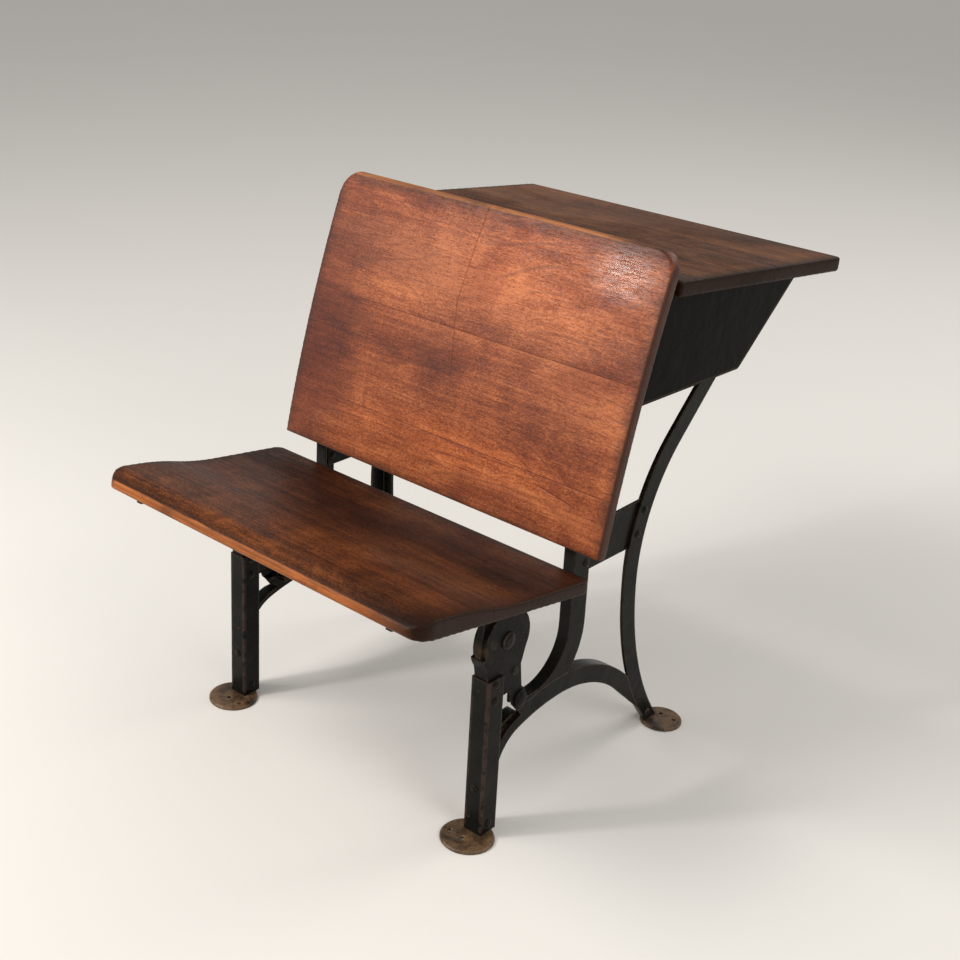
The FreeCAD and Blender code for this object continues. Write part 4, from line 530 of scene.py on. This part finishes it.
STEEL = black_steel("japanned_steel", shine=0.085, ridges=LEG_RIDGES)
SHEET = black_steel("japanned_sheet", (0.0022, 0.0024, 0.0020), (0.006, 0.0055, 0.0045),
                    rust_level=0.72, shine=0.03)
FASTENER = black_steel("worn_fastener", (0.006, 0.0055, 0.0045), (0.030, 0.024, 0.018),
                       (0.16, 0.12, 0.085), rust_level=0.58)
HINGE = black_steel("lid_hinge_steel", (0.012, 0.011, 0.009), (0.045, 0.036, 0.028),
                    (0.22, 0.18, 0.13), rust_level=0.58)
CASTING = cast_iron("black_casting", (0.0045, 0.0045, 0.0038), (0.022, 0.014, 0.009),
                    (0.15, 0.085, 0.045), rust_from=0.52, rough_low=0.26, shine=0.10,
                    rubbed=KNUCKLE_FRONTS)
FOOT = cast_iron("rusty_foot", (0.015, 0.0095, 0.0055), (0.155, 0.088, 0.043),
                 (0.45, 0.30, 0.17), rust_from=0.34, rough_low=0.20, shine=0.35)

# a node takes the first finish of which a word is in its name, or else steel
FINISHES = (
    (STEEL, ("box_end_rivets", "arch_rivets", "leg_rivets", "link_rivets", "rail_rivets")),
    (FASTENER, ("rivets", "screws", "bolts", "nuts", "hinge_bolt", "hinge_nut")),
    (FOOT, ("foot",)),
    (CASTING, ("hinge_bracket", "seat_arm")),
    (SHEET, ("book_box", "box_end")),
    (HINGE, ("lid_hinge",)),
)


def finish_of(node):
    for material, words in FINISHES:
        if any(word in node for word in words):
            return material
    return STEEL


# ---- side frames: the opening between the leg, the heel of the arch and the boss of the bracket ----
# Outlines are (y, z). Distances behind the leg's front start at LEG_FRONT.

BAR_LOW, BAR_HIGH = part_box("right_arch_brace")
LEG_FRONT, LEG_BACK = LEG_LOW[1], LEG_HIGH[1]
BAR_IN, BAR_OUT = BAR_LOW[0], BAR_HIGH[0]
WEB_IN = BAR_OUT - 0.004                # inner face of the bar's web
CUT_OVER = 0.001                        # by how much a cut passes the face that it starts from
LEG_GAP = 0.0002                        # between the leg and what is cut behind it
CUT_START = LEG_BACK + LEG_GAP

HEEL_RADIUS, HEEL_DEPTH = 0.056, 0.014  # the arch's heel, which springs from the leg
HEEL_CENTRE = (LEG_BACK + HEEL_RADIUS, 0.0735)
HEEL_END = 107.0                        # degrees
NOTCH = ((0.0715, 0.1429), (0.0535, 0.166), (0.046, 0.172))   # below the boss: behind the leg's front, height
SLOT_BACK, SLOT_TOP = LEG_FRONT + 0.046, 0.188
FLANGE_CENTRE, FLANGE_RADIUS = (LEG_FRONT + 0.068, 0.085), 0.0642   # top of the arch's inner flange
FLANGE_END = 100.0                      # degrees
FLANGE_CUT_BACK = LEG_FRONT + 0.080

BOSS, BOSS_RADIUS = (LEG_FRONT + 0.0655, 0.1700), 0.0125
BOSS_POINTS = 24
DOME_RADIUS, DOME_RISE = 0.0120, 0.0062
DOME_ROUND, DOME_RINGS = 24, 6


def arc(centre, radius, start, end, steps=14):
    """Points (y, z) on an arc between two angles in degrees."""
    angles = [math.radians(start + (end - start) * step / steps) for step in range(steps + 1)]
    return [(centre[0] + radius * math.cos(angle), centre[1] + radius * math.sin(angle)) for angle in angles]


def start_angle(reach, radius):
    """Where an arc starts whose centre lies this far behind what it springs from."""
    return 180.0 - math.degrees(math.acos(reach / radius))


def span(hand, near, far):
    """Two distances from the middle as low and high X on one side."""
    return min(hand * near, hand * far), max(hand * near, hand * far)


def prism(outline, x_low, x_high):
    """A solid with this outline between two X."""
    shape = bmesh.new()
    rings = [[shape.verts.new((x, y, z)) for y, z in outline] for x in (x_low, x_high)]
    for ring in rings:
        shape.faces.new(ring)
    for index in range(len(outline)):
        after = (index + 1) % len(outline)
        shape.faces.new((rings[0][index], rings[0][after], rings[1][after], rings[1][index]))
    bmesh.ops.recalc_face_normals(shape, faces=shape.faces)
    return placed("prism", mesh_of("prism", shape))


def reshaped(name, node, material, steps):
    """A copy of a CAD solid with prisms cut from it or joined to it; it replaces the solid."""
    piece = welded(name, node)
    tools = []
    for operation, outline, x_low, x_high in steps:
        tools.append(prism(outline, x_low, x_high))
        change = piece.modifiers.new(operation, "BOOLEAN")
        change.operation = operation
        change.solver = "EXACT"
        change.object = tools[-1]
    settle(piece, material)
    for tool in tools:
        bpy.data.objects.remove(tool)
    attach(piece, "frame")
    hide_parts(node)
    return piece


def opened_frame(side, hand):
    """One side's arch, upright and bracket with the opening cut, and with the heel and boss joined on."""
    heel_top = arc(HEEL_CENTRE, HEEL_RADIUS + HEEL_DEPTH,
                   start_angle(HEEL_RADIUS, HEEL_RADIUS + HEEL_DEPTH), HEEL_END)
    heel = arc(HEEL_CENTRE, HEEL_RADIUS, 180.0, HEEL_END) + heel_top[::-1]
    window = ([(CUT_START, heel_top[0][1])] + heel_top[1:] + [(LEG_FRONT + back, z) for back, z in NOTCH]
              + [(SLOT_BACK, SLOT_TOP), (CUT_START, SLOT_TOP)])
    flange = arc(FLANGE_CENTRE, FLANGE_RADIUS,
                 start_angle(FLANGE_CENTRE[0] - CUT_START, FLANGE_RADIUS), FLANGE_END)
    inside = flange + [(FLANGE_CUT_BACK, flange[-1][1]), (FLANGE_CUT_BACK, SLOT_TOP), (CUT_START, SLOT_TOP)]
    boss = arc(BOSS, BOSS_RADIUS, 0.0, 360.0 - 360.0 / BOSS_POINTS, BOSS_POINTS - 1)
    cuts = [("DIFFERENCE", window, *span(hand, WEB_IN, BAR_OUT + CUT_OVER)),
            ("DIFFERENCE", inside, *span(hand, BAR_IN - CUT_OVER, WEB_IN))]
    heel_step = ("UNION", heel, *span(hand, WEB_IN, BAR_OUT))
    boss_step = ("UNION", boss, *span(hand, WEB_IN, BAR_OUT))
    made = (reshaped(side + "_arch", side + "_arch_brace", STEEL, cuts + [heel_step]),
            reshaped(side + "_upright", side + "_back_upright", STEEL, cuts),
            reshaped(side + "_bracket", side + "_hinge_bracket", CASTING, cuts + [boss_step]))


def domes(name, node, places, material):
    """Low domes that stand out along X from these (x, y, z) places; they replace a node."""
    shape = bmesh.new()
    for x, y, z in places:
        out = math.copysign(1.0, x)
        rings = []
        for ring in range(DOME_RINGS):
            angle = math.radians(90.0 * ring / DOME_RINGS)
            rise, reach = DOME_RISE * math.sin(angle), DOME_RADIUS * math.cos(angle)
            turns = [math.tau * turn / DOME_ROUND for turn in range(DOME_ROUND)]
            rings.append([shape.verts.new((x + out * rise, y + reach * math.cos(turn),
                                           z + reach * math.sin(turn))) for turn in turns])
        tip = shape.verts.new((x + out * DOME_RISE, y, z))
        shape.faces.new(rings[0])
        for turn in range(DOME_ROUND):
            after = (turn + 1) % DOME_ROUND
            for low, high in zip(rings, rings[1:]):
                shape.faces.new((low[turn], low[after], high[after], high[turn]))
            shape.faces.new((rings[-1][turn], rings[-1][after], tip))
    bmesh.ops.recalc_face_normals(shape, faces=shape.faces)
    for face in shape.faces:
        face.smooth = len(face.verts) < DOME_ROUND
    piece = placed(name, mesh_of(name, shape))
    piece.data.materials.append(material)
    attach(piece, "frame")
    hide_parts(node)


for side, hand in HANDS:
    opened_frame(side, hand)
domes("boss_domes", "boss_rivets", [(hand * BAR_OUT, *BOSS) for _, hand in HANDS], CASTING)

for node, solid in NODES.items():
    material = finish_of(node)
    if not solid.data.materials:
        solid.data.materials.append(material)
    for number in range(len(solid.data.materials)):
        solid.data.materials[number] = material


# ---- room, light and camera ----

FLOOR_REACH = 40
FLOOR_CORNERS = ((-1, -1), (1, -1), (1, 1), (-1, 1))
FLOOR_COLOUR, FLOOR_ROUGH = (0.80, 0.78, 0.75), 0.85
STUDIO_COLOUR, STUDIO_STRENGTH = (1.0, 0.985, 0.96, 1.0), 0.45
LOW_TARGET = (0.0, 0.0, 0.35)

CAMERA_PLACE = (1.20888, -1.52745, 1.24038)
CAMERA_YAW, CAMERA_PITCH, CAMERA_ROLL = (math.radians(angle) for angle in (45.19, 21.22, 0.66))
CAMERA_SENSOR, CAMERA_LENS = 36.0, 59.845   # mm
CAMERA_SHIFT = (0.1793, -0.1217)


def pale_floor():
    look = Look("pale_floor")
    dust = look.even_noise(1.3, 5.0, 0.6)
    colour = look.mix(dust, shaded(FLOOR_COLOUR, 0.97), FLOOR_COLOUR)
    return look.finish(colour, FLOOR_ROUGH, look.bump(dust, 0.0002, 0.1))


floor_mesh = bpy.data.meshes.new("floor")
floor_mesh.from_pydata([(x * FLOOR_REACH, y * FLOOR_REACH, 0) for x, y in FLOOR_CORNERS], [], [(0, 1, 2, 3)])
floor_mesh.materials.append(pale_floor())
floor = placed("floor", floor_mesh)

world = bpy.data.worlds.new("studio")
bpy.context.scene.world = world
world.use_nodes = True
background = world.node_tree.nodes["Background"]
background.inputs["Color"].default_value = STUDIO_COLOUR
background.inputs["Strength"].default_value = STUDIO_STRENGTH


def lamp(name, location, target, size, power, colour):
    light = bpy.data.lights.new(name, "AREA")
    light.shape = "RECTANGLE"
    light.size, light.size_y = size
    light.energy = power
    light.color = colour
    holder = placed(name, light)
    holder.location = location
    holder.rotation_euler = (Vector(target) - Vector(location)).to_track_quat("-Z", "Y").to_euler()


lamp("key", (-1.3, -1.9, 2.6), LOW_TARGET, (1.6, 1.2), 58.0, (1.0, 0.96, 0.90))
lamp("fill", (2.6, -0.6, 1.9), LOW_TARGET, (1.4, 1.4), 22.0, (1.0, 0.97, 0.93))
lamp("window", (-1.03, -1.92, 1.40), (0.2, 0.0, 0.65), (0.2, 0.2), 17.0, (1.0, 0.97, 0.93))
lamp("rear", (0.8, 2.6, 2.4), (0.0, 0.1, 0.6), (1.6, 1.0), 30.0, (1.0, 0.97, 0.92))

back = Vector((math.sin(CAMERA_YAW) * math.cos(CAMERA_PITCH), -math.cos(CAMERA_YAW) * math.cos(CAMERA_PITCH),
               math.sin(CAMERA_PITCH)))
right = Vector((math.cos(CAMERA_YAW), math.sin(CAMERA_YAW), 0.0))
up = back.cross(right)
turned_right = math.cos(CAMERA_ROLL) * right + math.sin(CAMERA_ROLL) * up
turned_up = -math.sin(CAMERA_ROLL) * right + math.cos(CAMERA_ROLL) * up
camera_data = bpy.data.cameras.new("camera")
camera_data.sensor_width = CAMERA_SENSOR
camera_data.lens = CAMERA_LENS
camera_data.shift_x, camera_data.shift_y = CAMERA_SHIFT
camera = placed("camera", camera_data)
camera.matrix_world = Matrix.Translation(CAMERA_PLACE) @ Matrix(
    (turned_right, turned_up, back)).transposed().to_4x4()
bpy.context.scene.camera = camera
bpy.context.scene.view_settings.view_transform = "Standard"
